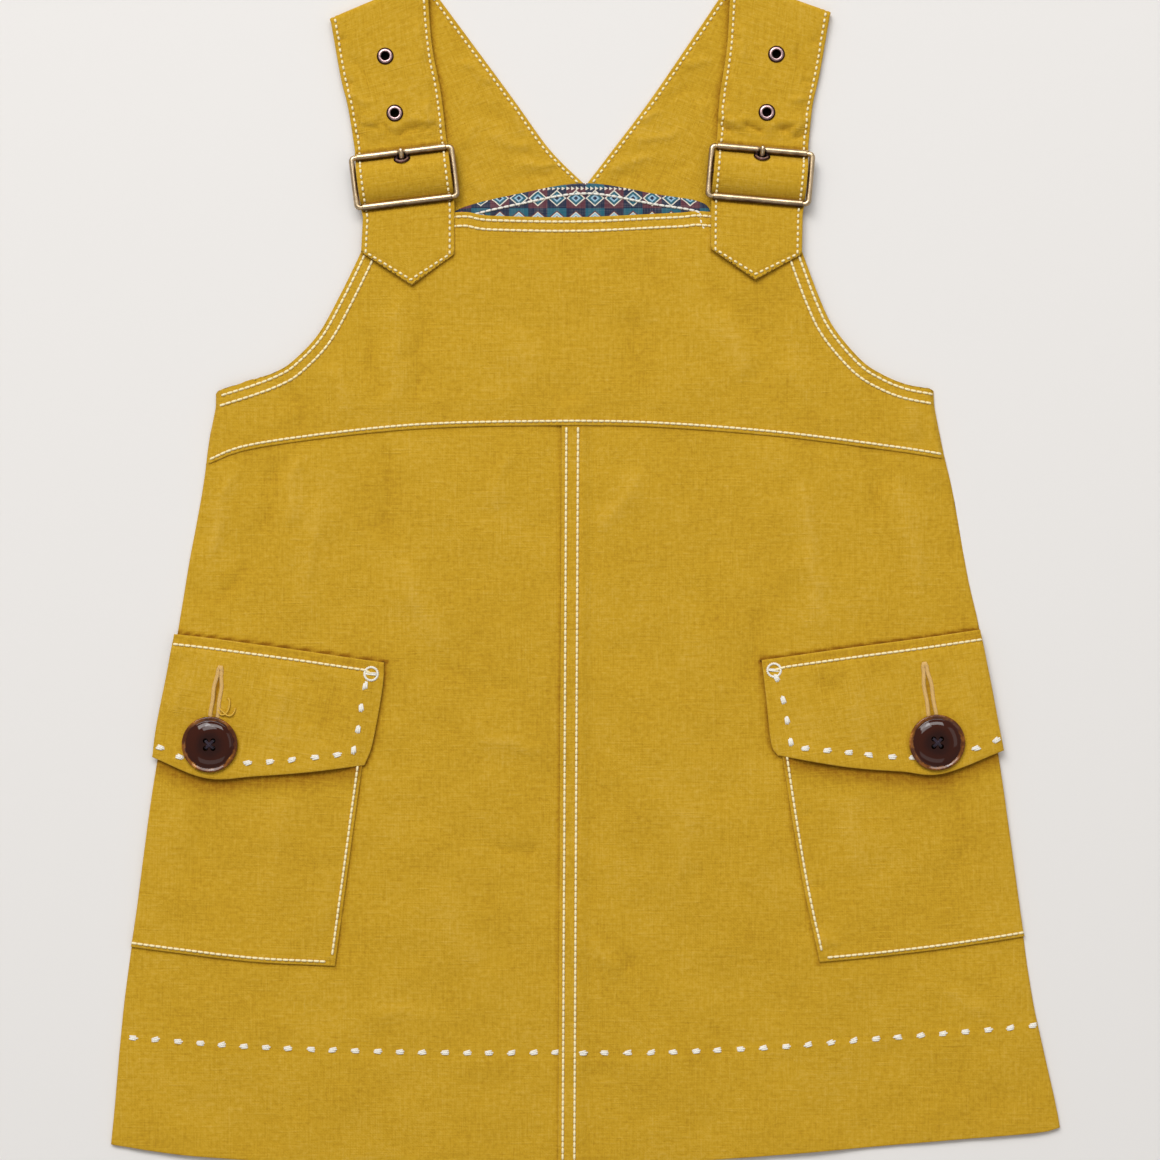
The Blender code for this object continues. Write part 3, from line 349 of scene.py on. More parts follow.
def colour_property(name, default, description):
    """A linear colour."""
    return FloatVectorProperty(
        name=name, default=default, size=3, min=0.0, max=1.0, subtype="COLOR", description=description
    )


class PinaforeCloth(bpy.types.PropertyGroup):
    """Sizes and colours of the cloth."""

    thickness: length_property("Thickness", 0.0008, "Thickness of one layer of the linen")
    step: length_property("Grid Step", 0.0016, "Distance of the grid's lines in the middle of a panel")
    colour: colour_property("Linen", (0.545, 0.315, 0.016), "Main colour of the linen")
    # Faded colour of rubbed cloth, also used as painted light on crease ridges
    faded_and_lit: colour_property("Faded Linen", (0.71, 0.455, 0.085), "Colour where the cloth is rubbed")
    # Painted shade: the colour in creases, beside seams and under the edges of layers above
    shaded: colour_property("Deep Linen", (0.29, 0.125, 0.003), "Colour in creases and beside seams")
    print_ground: colour_property("Print Ground", (0.012, 0.020, 0.050), "Ground of the printed cloth")


class PinaforeStitching(bpy.types.PropertyGroup):
    """Sizes and colours of the threads."""

    pitch: length_property("Pitch", 0.0025, "Distance of one machine stitch from the next")
    thread: length_property("Thread", 0.00105, "Thickness of the machine thread")
    floss: length_property("Floss", 0.00085, "Thickness of one strand of the hand stitches")
    cream: colour_property("Machine Thread", (1.0, 0.86, 0.50), "Colour of the machine thread")
    white: colour_property("Hand Thread", (0.92, 0.88, 0.78), "Colour of the hand stitches")
    tan: colour_property("Buttonhole Thread", (0.78, 0.50, 0.17), "Colour of the buttonholes")
    golden: colour_property("Loose Thread", (0.78, 0.47, 0.05), "Colour of the loose thread's ends")


class PinaforeTrims(bpy.types.PropertyGroup):
    """Sizes and colours of the buckles, eyelets and buttons."""

    wire: length_property("Buckle Wire", 0.0024, "Thickness of the buckle's wire")
    button: length_property("Button", 0.0234, "Width of the buttons")
    # The polished brass also takes the painted highlight on top, and the patina the painted shade at the
    # sides and below
    brass: colour_property("Brass", (0.80, 0.61, 0.38), "Polished part of the buckles")
    patina_and_shade: colour_property("Patina", (0.070, 0.036, 0.022), "Aged part of the buckles")
    # The eyelet colour also takes the painted highlight on the rolled rim
    copper: colour_property("Eyelet", (0.50, 0.335, 0.33), "Polished part of the eyelets")
    amber: colour_property("Amber", (0.24, 0.080, 0.010), "Light mottles of the buttons")


class PinaforeStage(bpy.types.PropertyGroup):
    """Floor, light and camera."""

    floor: colour_property("Floor", (0.80, 0.775, 0.75), "Colour of the surface under the dress")
    distance: length_property("Camera Distance", 1.2, "Height of the camera above the dress")
    width: length_property("Field Width", 0.4872, "Width of the camera's field on the dress")


# Lines ----


def smooth(rows, steps=8):
    """A fine line through the rows (Catmull-Rom): p = s + ((e - b) t + (2b - 5s + 4e - a) t^2
    + (3s - b - 3e + a) t^3) / 2 between points s and e, with b before them and a after them."""
    knots = np.array(rows, float)
    ends = np.vstack([2 * knots[0] - knots[1], knots, 2 * knots[-1] - knots[-2]])
    before, start, end, after = (ends[i : len(ends) - 3 + i, None] for i in range(4))
    t = np.linspace(0.0, 1.0, steps, endpoint=False)[None, :, None]
    bend = 2 * before - 5 * start + 4 * end - after
    twist = 3 * start - before - 3 * end + after
    fine = start + 0.5 * ((end - before) * t + bend * t**2 + twist * t**3)
    return np.vstack([fine.reshape(-1, knots.shape[1]), knots[-1:]])


def unit(rows):
    """Vectors brought to the length 1."""
    return rows / np.maximum(np.linalg.norm(rows, axis=-1, keepdims=True), 1e-9)


def sideways(rows):
    """Flat vectors turned a quarter to the left."""
    return np.column_stack([-rows[:, 1], rows[:, 0]])


def with_z(places, z=0.0):
    """Flat places with a height."""
    return np.column_stack([places, np.broadcast_to(z, len(places))])


def circle(count):
    """Angles in even steps round a circle."""
    return np.linspace(0.0, 2 * math.pi, count, endpoint=False)


def on_circle(angles):
    """Points at the angles on a circle whose radius is 1."""
    return np.column_stack([np.cos(angles), np.sin(angles)])


def pairs(first, second):
    """Two arrays that fit each other as rows of two columns."""
    return np.stack(np.broadcast_arrays(first, second), axis=-1).reshape(-1, 2)


def travelled(line):
    """How far along a line each of its points is."""
    return np.concatenate([[0.0], np.cumsum(np.linalg.norm(np.diff(line, axis=0), axis=1))])


def at(line, distances):
    """Places on a line at the distances along it."""
    way = travelled(line)
    return np.column_stack([np.interp(distances, way, line[:, axis]) for axis in range(line.shape[1])])


def share_of(line, shares):
    """Places on a line at shares of its length, from 0 to 1."""
    return at(line, np.asarray(shares) * travelled(line)[-1])


def beside(line, reach):
    """A flat line moved sideways: p + reach n, with n the unit normal to the left of its run."""
    return line + reach * sideways(unit(np.gradient(line, axis=0)))


def lines_across(length, step):
    """Shares of a length for the lines of a grid: close together near both ends, step apart between."""
    near = np.array([edge for edge in EDGE_LINES if edge < 0.45 * length])
    count = max(1, round((length - 2 * near[-1]) / step))
    middle = np.linspace(near[-1], length - near[-1], count + 1)
    return np.concatenate([near[:-1], middle, length - near[-2::-1]]) / length


def patch(bottom, top, left, right):
    """A grid between four edges with equal shares on facing ones (Coons): what the side edges give at u,
    and the lower and upper ones at v, less what the corners give."""
    u = (travelled(bottom) / travelled(bottom)[-1] + travelled(top) / travelled(top)[-1])[None, :, None] / 2
    v = (travelled(left) / travelled(left)[-1] + travelled(right) / travelled(right)[-1])[:, None, None] / 2
    across = (1 - u) * left[:, None] + u * right[:, None]
    upward = (1 - v) * bottom[None] + v * top[None]
    low = (1 - u) * bottom[0] + u * bottom[-1]
    high = (1 - u) * top[0] + u * top[-1]
    return across + upward - (1 - v) * low - v * high


def panel(bottom, top, left, right, step):
    """The grid of a panel between four edge lines, in the order of its u to the right and v upwards."""
    u = lines_across(travelled(bottom)[-1], step)
    v = lines_across(travelled(left)[-1], step)
    return patch(share_of(bottom, u), share_of(top, u), share_of(left, v), share_of(right, v))


def reach(places, line):
    """Distance from places to the nearest point of a line, and how far along the line that point is."""
    flat = places.reshape(-1, 1, 2)
    start = line[:-1][None]
    run = np.diff(line, axis=0)[None]
    share = ((flat - start) * run).sum(-1) / np.maximum((run * run).sum(-1), 1e-9)
    share = share.clip(0.0, 1.0)
    apart = np.linalg.norm(flat - start - share[..., None] * run, axis=-1)
    nearest = apart.argmin(1)
    pick = np.arange(len(nearest))
    along = travelled(line)[nearest] + share[pick, nearest] * np.linalg.norm(run[0], axis=1)[nearest]
    return apart[pick, nearest].reshape(places.shape[:-1]), along.reshape(places.shape[:-1])


# Relief ----


def ease(share):
    """0 to 1 with a level start and end: s^2 (3 - 2 s)."""
    share = np.clip(share, 0.0, 1.0)
    return share * share * (3.0 - 2.0 * share)


def ripple(places, size, seed):
    """Uneven waves from -1 to 1: the mean of eight sines whose directions, lengths (about size) and phases
    are drawn with the seed, doubled and cut."""
    draw = np.random.default_rng(seed)
    angle = draw.uniform(0.0, 2 * math.pi, 8)
    wave = 2 * math.pi / (size * draw.uniform(0.6, 1.6, 8))
    phase = draw.uniform(0.0, 2 * math.pi, 8)
    travel = places[..., :1] * np.cos(angle) + places[..., 1:2] * np.sin(angle)
    return np.clip(2.0 * np.sin(travel * wave + phase).mean(-1), -1.0, 1.0)


def creases(places, table, strength=CREASE_STRENGTH):
    """Ridges and troughs: the sum of height exp(1.3 (r0 - sqrt((d / width)^2 + r0^2))), with d the distance
    to the crease's line and r0 its sharpness. The line wanders by up to 2 mm and fades out at both ends."""
    wander = np.stack([ripple(places, 24.0, 5), ripple(places, 21.0, 6)], axis=-1) * 2.0
    relief = np.zeros(places.shape[:-1])
    for x0, y0, x1, y1, width, height in table:
        line = np.array([(x0, y0), (x1, y1)], float)
        apart, along = reach(places + wander, line)
        share = along / travelled(line)[-1]
        fade = ease(share * 3.0 + 0.2) * ease((1.0 - share) * 3.0 + 0.2)
        flank = np.exp(1.3 * (0.25 - np.sqrt((apart / width) ** 2 + 0.25**2)))
        relief += strength * height * flank * fade
    return relief


def pucker(apart, along, inside, depth):
    """Small gathers along a stitched edge: depth sin(2 pi s / 3.8 + waver) exp(-((d - inside) / 2.2)^2)."""
    waver = 2.4 * np.sin(along / 17.0) + 1.6 * np.sin(along / 7.3 + 1.0)
    return depth * np.sin(2 * math.pi * along / 3.8 + waver) * np.exp(-(((apart - inside) / 2.2) ** 2))


def valley(apart, inside):
    """How far a row of stitches draws the cloth in, 1 on the row: exp(-((d - inside) / 0.55)^2)."""
    return np.exp(-(((apart - inside) / 0.55) ** 2))


def sewn(half, worn, apart, inside, depth=0.15):
    """Half thickness, and shade and wear, of cloth with a row of stitches, which is depth thinner on the row
    and has painted shade there.
    """
    row = valley(apart, inside)
    return half - depth * row, worn - ROW_SHADE * row


def rumple(places):
    """The soft unevenness that all front layers share."""
    broad = 0.55 * ripple(places, 66.0, 11) + 0.22 * ripple(places, 31.0, 12)
    return broad + 0.10 * ripple(places, 14.0, 13) + 0.045 * ripple(places, 7.5, 14)


def shade_beside(places, line, width):
    """Painted shade, a deeper colour close to a layer's edge: -exp(-(d / width)^2)."""
    return -np.exp(-((reach(places, line)[0] / width) ** 2))


def crumple(places):
    """The finer unevenness of the doubled straps."""
    return 0.16 * ripple(places, 19.0, 31) + 0.10 * ripple(places, 9.0, 32) + 0.05 * ripple(places, 5.5, 33)


# Meshes ----


def new_mesh(name, points, faces, uv=None, worn=None):
    """A smooth mesh from points and faces, with a UV map in metres and an attribute for wear and painted
    light and shade, with all its faces turned outwards."""
    mesh = bpy.data.meshes.new(name)
    mesh.from_pydata((points * MM).tolist(), [], faces)
    corner = np.empty(len(mesh.loops), np.int32)
    mesh.loops.foreach_get("vertex_index", corner)
    layer = mesh.uv_layers.new(name="surface")
    flat = points[:, :2] * MM if uv is None else uv * MM
    layer.uv.foreach_set("vector", flat[corner].astype(np.float32).ravel())
    shade_and_wear_layer = mesh.attributes.new("worn", "FLOAT", "POINT")
    values = np.zeros(len(points)) if worn is None else worn
    shade_and_wear_layer.data.foreach_set("value", values.astype(np.float32))
    shape = bmesh.new()
    shape.from_mesh(mesh)
    bmesh.ops.recalc_face_normals(shape, faces=shape.faces)
    shape.to_mesh(mesh)
    shape.free()
    mesh.shade_smooth()
    return mesh


def new_piece(name, mesh, material, node=None):
    """An object for a mesh, which rides on the dress and stands for the CAD node that it replaces."""
    obj = bpy.data.objects.new(name, mesh)
    bpy.context.scene.collection.objects.link(obj)
    mesh.materials.append(material)
    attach(obj, BODY)
    if node:
        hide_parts(node)
    return obj


def grid_faces(index):
    """Quads between the points of a grid of indices, anticlockwise where columns run right and rows up."""
    corners = (index[:-1, :-1], index[:-1, 1:], index[1:, 1:], index[1:, :-1])
    return np.stack(corners, axis=-1).reshape(-1, 4)


def border(index):
    """The indices round a grid's edge, anticlockwise."""
    return np.concatenate([index[0, :-1], index[:-1, -1], index[-1, :0:-1], index[:0:-1, 0]])


def normals_of(grid):
    """Unit normals of a grid of points: the cross product of its two gradients."""
    return unit(np.cross(np.gradient(grid, axis=1), np.gradient(grid, axis=0)))


def wall(middle, half, uv, worn):
    """A closed sheet of cloth round a grid m(u, v) with normals n: its faces are m + h n and m - h n, and
    its edge is the half circle m + h (cos a o + sin a n), with o pointing out of the edge.
    The edge's middle is on the grid's border. Returns points, faces, uv, and shade and wear."""
    rows, columns = middle.shape[:2]
    index = np.arange(rows * columns).reshape(rows, columns)
    normal = normals_of(middle).reshape(-1, 3)
    ring = border(index)
    points = middle.reshape(-1, 3).copy()
    half = np.broadcast_to(half, (rows, columns)).reshape(-1, 1)
    along = np.roll(points[ring], -1, axis=0) - np.roll(points[ring], 1, axis=0)
    out = unit(np.cross(along, normal[ring]))
    inset = points.copy()
    inset[ring] -= out * half[ring]
    upper = inset + normal * half
    lower = inset - normal * half
    angles = np.radians([60.0, 30.0, 0.0, -30.0, -60.0])
    rims = [inset[ring] + half[ring] * (math.cos(a) * out + math.sin(a) * normal[ring]) for a in angles]
    count = rows * columns
    faces = [grid_faces(index), grid_faces(index)[:, ::-1] + count]
    loops = [ring]
    loops += [2 * count + step * len(ring) + np.arange(len(ring)) for step in range(len(angles))]
    loops += [ring + count]
    for high, low in zip(loops, loops[1:]):
        faces.append(np.stack([low, np.roll(low, -1), np.roll(high, -1), high], axis=-1))
    uv = uv.reshape(-1, 2)
    worn = np.broadcast_to(worn, (rows, columns)).reshape(-1)
    all_uv = np.vstack([uv, uv] + [uv[ring]] * len(rims))
    all_worn = np.concatenate([worn, worn] + [np.maximum(worn[ring], 0.2)] * len(rims))
    return np.vstack([upper, lower] + rims), np.vstack(faces).tolist(), all_uv, all_worn


def area_of(grid):
    """Area of a grid of points in square metres, from the diagonals of its cells: |p x q| / 2."""
    p = grid[1:, 1:] - grid[:-1, :-1]
    q = grid[1:, :-1] - grid[:-1, 1:]
    return float(np.linalg.norm(np.cross(p, q), axis=-1).sum() / 2 * MM * MM)


def cloth(name, middle, half, uv, worn, material, slot, flat, held, rests_on, node, drills=()):
    """A piece of cloth: a closed sheet round its middle grid, drilled where tools are given."""
    points, faces, uv, worn = wall(middle, half, uv, worn)
    points[:, 2] = np.maximum(points[:, 2], 0.0)
    mesh = new_mesh(name, points, faces, uv, worn)
    if drills:
        mesh = drilled(mesh, drills)
    obj = new_piece(name, mesh, material, node)
    area_of(middle)


def flat_cloth(name, places, face, half, worn, rests_on, node, grain=0.0, cover=None, slot=LINEN_SLOT):
    """A panel that lies flat: its places on the surface and its upper face there. The grain turns its
    threads, and cover is a material other than the linen."""
    thickness = bpy.context.scene.pinafore_cloth.thickness / MM
    middle = np.dstack([places, face - thickness / 2])
    uv = turn_z(middle, -grain)[..., :2]
    width, length = np.ptp(places.reshape(-1, 2), axis=0)
    flat = (float(width) * MM, float(length) * MM)
    cloth(name, middle, half, uv, worn, cover or linen_material(), slot, flat, "laid", rests_on, node)


def skin(rows, columns, closed=False):
    """Faces of a grid whose columns close round it. closed joins the last row to the first one, and
    otherwise a fan at each end meets a point, first and last, that comes after the grid's points."""
    index = np.arange(rows * columns).reshape(rows, columns)
    if closed:
        index = np.vstack([index, index[:1]])
    around = np.roll(index, -1, axis=1)
    quads = np.stack([index[:-1], around[:-1], around[1:], index[1:]], axis=-1).reshape(-1, 4).tolist()
    if closed:
        return quads
    first = np.full(columns, rows * columns)
    quads += np.stack([around[0], index[0], first], axis=-1).tolist()
    quads += np.stack([index[-1], around[-1], first + 1], axis=-1).tolist()
    return quads


def tube(path, radii, sides, across, closed=False):
    """A round wire: p(s) + r(s) (cos a b + sin a c), with b across the path in the plane whose normal is
    across, and c along that normal. Its ends close in points. Returns points, faces, uv and painted light
    and shade: the up part of each normal, 1 on top and -1 below."""
    run = np.roll(path, -1, axis=0) - np.roll(path, 1, axis=0) if closed else np.gradient(path, axis=0)
    lift = np.broadcast_to(np.array(across, float), run.shape)
    side = unit(np.cross(unit(run), lift))
    angle = circle(sides)
    radii = np.broadcast_to(radii, len(path))[:, None, None]
    turn = np.cos(angle)[None, :, None] * side[:, None] + np.sin(angle)[None, :, None] * lift[:, None]
    points = (path[:, None] + radii * turn).reshape(-1, 3)
    uv = pairs(travelled(path)[:, None], angle[None])
    worn = turn[..., 2].reshape(-1)
    if not closed:
        points = np.vstack([points, path[:1], path[-1:]])
        uv = np.vstack([uv, uv[:1], uv[-1:]])
        worn = np.concatenate([worn, [0.0, 0.0]])
    return points, skin(len(path), sides, closed), uv, worn


def turned(profile, steps):
    """A closed profile (r, z) carried round Z: (r cos a, r sin a, z). Its uv is how far along the profile
    and the radius. Returns points, faces, uv, and None for shade and wear."""
    angle = circle(steps)
    radius = profile[:, :1]
    height = np.broadcast_to(profile[:, 1:], (len(profile), steps))
    points = np.stack([radius * np.cos(angle), radius * np.sin(angle), height], axis=-1)
    return points.reshape(-1, 3), skin(len(profile), steps, True), pairs(radius * angle, radius), None


def merged(parts):
    """Several (points, faces, uv, shade and wear) as one."""
    points = []
    faces = []
    uvs = []
    worn = []
    count = 0
    for part, part_faces, uv, shade_and_wear_layer in parts:
        faces += [[corner + count for corner in face] for face in part_faces]
        points.append(part)
        uvs.append(uv)
        worn.append(np.zeros(len(part)) if shade_and_wear_layer is None else shade_and_wear_layer)
        count += len(part)
    return np.vstack(points), faces, np.vstack(uvs), np.concatenate(worn)


def joined(name, parts, material, node=None):
    """One piece made of several (points, faces, uv, shade and wear)."""
    return new_piece(name, new_mesh(name, *merged(parts)), material, node)


def turn_z(points, degrees):
    """Points turned about Z."""
    angle = math.radians(degrees)
    cos = math.cos(angle)
    sin = math.sin(angle)
    return points @ np.array([(cos, sin, 0.0), (-sin, cos, 0.0), (0.0, 0.0, 1.0)])


def drilled(mesh, drills):
    """A mesh with round holes cut by (points, faces, uv, shade and wear) tools. Takes the place of the first
    mesh.
    """
    blank = bpy.data.objects.new("blank", mesh)
    tools = [bpy.data.objects.new("drill", new_mesh("drill", *tool)) for tool in drills]
    for obj in [blank] + tools:
        bpy.context.scene.collection.objects.link(obj)
    for tool in tools:
        cut = blank.modifiers.new("hole", "BOOLEAN")
        cut.object = tool
        cut.solver = "EXACT"
    bpy.context.view_layer.update()
    holed = bpy.data.meshes.new_from_object(blank.evaluated_get(bpy.context.evaluated_depsgraph_get()))
    for obj in [blank] + tools:
        bpy.data.objects.remove(obj, do_unlink=True)
    holed.materials.clear()
    return holed


def middle_of(node):
    """The middle of a CAD node's box, in millimetres."""
    low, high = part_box(node)
    return (np.array(low) + np.array(high)) / 2 / MM


# Threads ----


def stitch_shape(length, thickness, dip):
    """One stitch along X as a bent capsule: with t from -1 to 1, its middle is (t L / 2, 0, -dip t^4) and
    its radius is (thickness / 2) (1 - t^6)^(1/2), in six rings of six."""
    t = np.array([-0.97, -0.78, -0.35, 0.35, 0.78, 0.97])
    radius = thickness / 2 * np.sqrt(1 - np.abs(t) ** 6)
    angle = circle(6)
    x = np.broadcast_to((t * length / 2)[:, None], (6, 6))
    y = radius[:, None] * np.cos(angle)
    z = radius[:, None] * np.sin(angle) - dip * (t**4)[:, None]
    points = np.stack([x, y, z], axis=-1).reshape(-1, 3)
    ends = np.array([(-length / 2, 0.0, -dip), (length / 2, 0.0, -dip)])
    uv = pairs(x, angle[None] * thickness / 2)
    return np.vstack([points, ends]), skin(6, 6), np.vstack([uv, uv[:1], uv[-1:]])


def stitches(shape, origins, runs, ups=UP):
    """Copies of a stitch: o + x r + y (u x r) + z u for each origin o, run r and up u."""
    points, faces, uv = shape
    runs = unit(runs)
    sides = unit(np.cross(ups, runs))
    frames = np.stack([runs, sides, np.cross(runs, sides)], axis=1)
    placed = origins[:, None] + np.einsum("vk,skj->svj", points, frames)
    count = len(points)
    moved = [[corner + number * count for corner in face] for number in range(len(origins)) for face in faces]
    tiled = np.tile(uv, (len(origins), 1)) + np.repeat(origins[:, :2], count, axis=0)
    return placed.reshape(-1, 3), moved, tiled, None


def row_of(shape, path, pitch, lift, ups=None):
    """A row of stitches, evenly spaced along a path in space and lifted off it."""
    way = travelled(path)
    count = max(1, int(way[-1] / pitch))
    where = (np.arange(count) + 0.5) * way[-1] / count
    runs = at(path, where + 0.3) - at(path, where - 0.3)
    if ups is None:
        ups = UP
    else:
        ups = np.column_stack([np.interp(where, way, ups[:, axis]) for axis in range(3)])
    return stitches(shape, at(path, where) + ups * lift, runs, ups)


# Faces of the panels ----

SIDE_LINE = {side: smooth(SIDE[side]) for side in SIDES}
ARMHOLE_LINE = {side: smooth(ARMHOLE[side]) for side in SIDES}
HEM_LINE = smooth(HEM)
YOKE_LINE = smooth(YOKE)
BIB_TOP_LINE = smooth(BIB_TOP)
NECK_LINE = smooth(NECK)
# Height of the hem's turned-up edge, and widths of the steps in the cloth where a hem or a turning ends
HEM_FOLD = 45.0
FOLD_STEP = 1.6
TURNED_STEP = 1.4


def across_at(line, x):
    """The y of a line that runs from left to right, at each x."""
    return np.interp(x, line[:, 0], line[:, 1])


def side_at(side, y):
    """The x of a side seam at each y."""
    return np.interp(y, SIDE_LINE[side][::-1, 1], SIDE_LINE[side][::-1, 0])


def on_line(line, x, rise=0.0):
    """Places at each x on a line that runs from left to right, moved up by the rise."""
    return np.column_stack([x, across_at(line, x) + rise])


def seam_run(side, low, high, count):
    """Even places on a side seam, from one height to another."""
    heights = np.linspace(low, high, count)
    return np.column_stack([side_at(side, heights), heights])


def sided_panel(side, low, high, inner, outer, step):
    """The grid of a panel of one half of the dress, from edges that run outwards and upwards."""
    if side == "right":
        return panel(low, high, inner, outer, step)
    return panel(low[::-1], high[::-1], outer, inner, step)


def lap_edge(y):
    """The x of the lap's edge at each y."""
    return np.interp(y, [-250.0, 63.6], [LAP_EDGE_HEM_X, LAP_EDGE_TOP_X])


def from_side(places):
    """Distance to the nearer side seam."""
    return np.minimum(reach(places, SIDE_LINE["left"])[0], reach(places, SIDE_LINE["right"])[0])


def rolled(apart, width, depth):
    """A step beside an edge: depth on it and outside, 0 from width inwards, and smooth between."""
    return depth * (1.0 - ease(apart / width))


def skirt_face(places, lapping):
    """Upper face of a skirt half: its layer, the lap's rise, the doubled hem and the creases."""
    face = SKIRT_FACE + rumple(places) + creases(places, SKIRT_CREASES)
    if lapping:
        inside = places[..., 0] - lap_edge(places[..., 1])
        face = face + rolled(inside - LAP_WIDTH, 4.6, 1.05)
        face = face + 0.10 * np.sin(places[..., 1] / 3.1) * valley(inside, STITCH_INSIDE)
    hem = places[..., 1] - across_at(HEM_LINE, places[..., 0])
    face = face + rolled(hem - HEM_FOLD, FOLD_STEP, 0.22)
    apart, along = reach(places, YOKE_LINE)
    face = face + gathers(apart, along, 21.0)
    return face - rolled(from_side(places), 1.2, 0.7) - rolled(from_side(places), 13.0, 0.45)


def right_skirt_face(places):
    """Upper face of the half that laps over the other one."""
    return skirt_face(places, True)


def hem_face(places):
    """Upper face of the whole skirt."""
    lapped = places[..., 0] > lap_edge(places[..., 1])
    return np.where(lapped, skirt_face(places, True), skirt_face(places, False))


def gathers(apart, along, length):
    """Uneven folds that start at a seam and run straight away from it: h(s) exp(-d / length), where h has
    two waves whose spacing wavers and which are weak at the middle of the dress."""
    waver = 3.0 * np.sin(along / 31.0) + 2.0 * np.sin(along / 13.0)
    folds = 0.13 * np.sin(along / 1.6 + waver) + 0.14 * np.sin(along / 3.1 - waver)
    side = 0.35 + 0.65 * np.cos(math.pi * along / travelled(YOKE_LINE)[-1]) ** 2
    return folds * side * np.exp(-apart / length)


def bib_face(places):
    """Upper face of the bib: it sags between the yoke seam and the neck and rolls down at its edges."""
    above = places[..., 1] - across_at(YOKE_LINE, places[..., 0])
    face = BIB_FACE + rumple(places) + creases(places, BIB_CREASES)
    face = face + gathers(*reach(places, YOKE_LINE), 11.0)
    sag = ease(above / 14.0) * ease((64.0 - above) / 24.0)
    face = face - rolled(above, 11.0, 0.82) - 0.35 * sag
    lap = (places[..., 0] - LAP_EDGE_TOP_X - LAP_WIDTH / 2) / (LAP_WIDTH / 2 + 2.6)
    face = face + np.exp(-(lap**4)) * rolled(above - YOKE_OVER, 6.0, 1.0)
    for side in SIDES:
        apart, along = reach(places, ARMHOLE_LINE[side])
        face = face - rolled(apart, 3.0, 0.3) + pucker(apart, along, 4.0, 0.14)
    apart, along = reach(places, BIB_TOP_LINE)
    face = face + pucker(apart, along, 4.0, 0.10)
    return face - rolled(from_side(places), 2.0, 1.7) - rolled(from_side(places), 13.0, 0.4)


def pocket_face(places):
    """Upper face of a patch pocket, which follows the skirt under it."""
    face = POCKET_FACE + rumple(places) + creases(places, POCKET_CREASES)
    for side in SIDES:
        for table in (POCKET_INNER, POCKET_BOTTOM):
            apart, along = reach(places, smooth(table[side]))
            face = face - rolled(apart, 2.6, 0.16) + pucker(apart, along, 3.0, 0.08)
    return face - rolled(from_side(places), 1.2, 0.6) - rolled(from_side(places), 13.0, 0.4)


def flap_face(places):
    """Upper face of a flap: held down along its top edge, then rising over the pocket and the button."""
    face = FLAP_FACE + rumple(places) + creases(places, FLAP_CREASES)
    for side in SIDES:
        table = FLAP[side]
        apart, along = reach(places, smooth(table["top"]))
        face = face - rolled(apart - 1.5, 7.0, 0.7) + pucker(apart, along, 2.0, 0.20)
        inner = reach(places, smooth(table["inner"]))[0]
        outer = reach(places, smooth(table["outer"]))[0]
        apart, along = reach(places, smooth(table["bottom"]))
        lifted = ease(inner / 16.0) * ease(outer / 18.0) * rolled(apart, 16.0, 1.0)
        face = face - rolled(apart, 1.8, 0.14) + 0.85 * lifted * (1.0 + 0.3 * np.sin(along / 9.0))
        face = face - rolled(inner, 9.0, 1.0) - rolled(outer, 1.6, 0.7)
    return face


def facing_face(places):
    """Upper face of the printed facing."""
    return FACING_FACE + 0.12 * ripple(places, 30.0, 21) - rolled(reach(places, NECK_LINE)[0], 2.0, 0.2)


# Strap surface ----


def buckle_point(side, x, y):
    """A point of the buckle's own plane, seen from above: x along its bars, y up the strap."""
    centre = middle_of("buckle_frame_" + side)[:2]
    tilt = math.radians(BUCKLE_TILT[side])
    x, y = np.broadcast_arrays(np.asarray(x, float), np.asarray(y, float))
    turned_x = centre[0] + x * math.cos(tilt) - y * math.sin(tilt)
    turned_y = centre[1] + x * math.sin(tilt) + y * math.cos(tilt)
    return np.stack([turned_x, turned_y], axis=-1)


def strap_height(y):
    """Middle height of the strap in the buckle: under one roller, over the centre bar, under the other."""
    run = smooth(STRAP_RUN)
    return np.interp(y, run[:, 0], run[:, 1])


def eyelet_seat(side, number):
    """Middle of an eyelet and the rows of its turn: across, along and out of the strap there."""
    if number < 3:
        return middle_of(f"eyelet_{side}_{number}"), np.eye(3)
    step = 0.4
    rise = strap_height(np.array([EYELET_IN_USE_Y + step, EYELET_IN_USE_Y - step]))
    slope = math.atan(float(rise[0] - rise[1]) / (2 * step))
    tip = np.eye(3)
    tip[1:, 1:] = [[math.cos(slope), math.sin(slope)], [-math.sin(slope), math.cos(slope)]]
    spot = buckle_point(side, 0.0, EYELET_IN_USE_Y)
    return np.append(spot, strap_height(EYELET_IN_USE_Y)), turn_z(tip, BUCKLE_TILT[side])


def between(outer, inner, columns):
    """Rows of places from an outer line to an inner one: (1 - u) o + u i."""
    u = columns[None, :, None]
    return (1 - u) * outer[:, None] + u * inner[:, None]


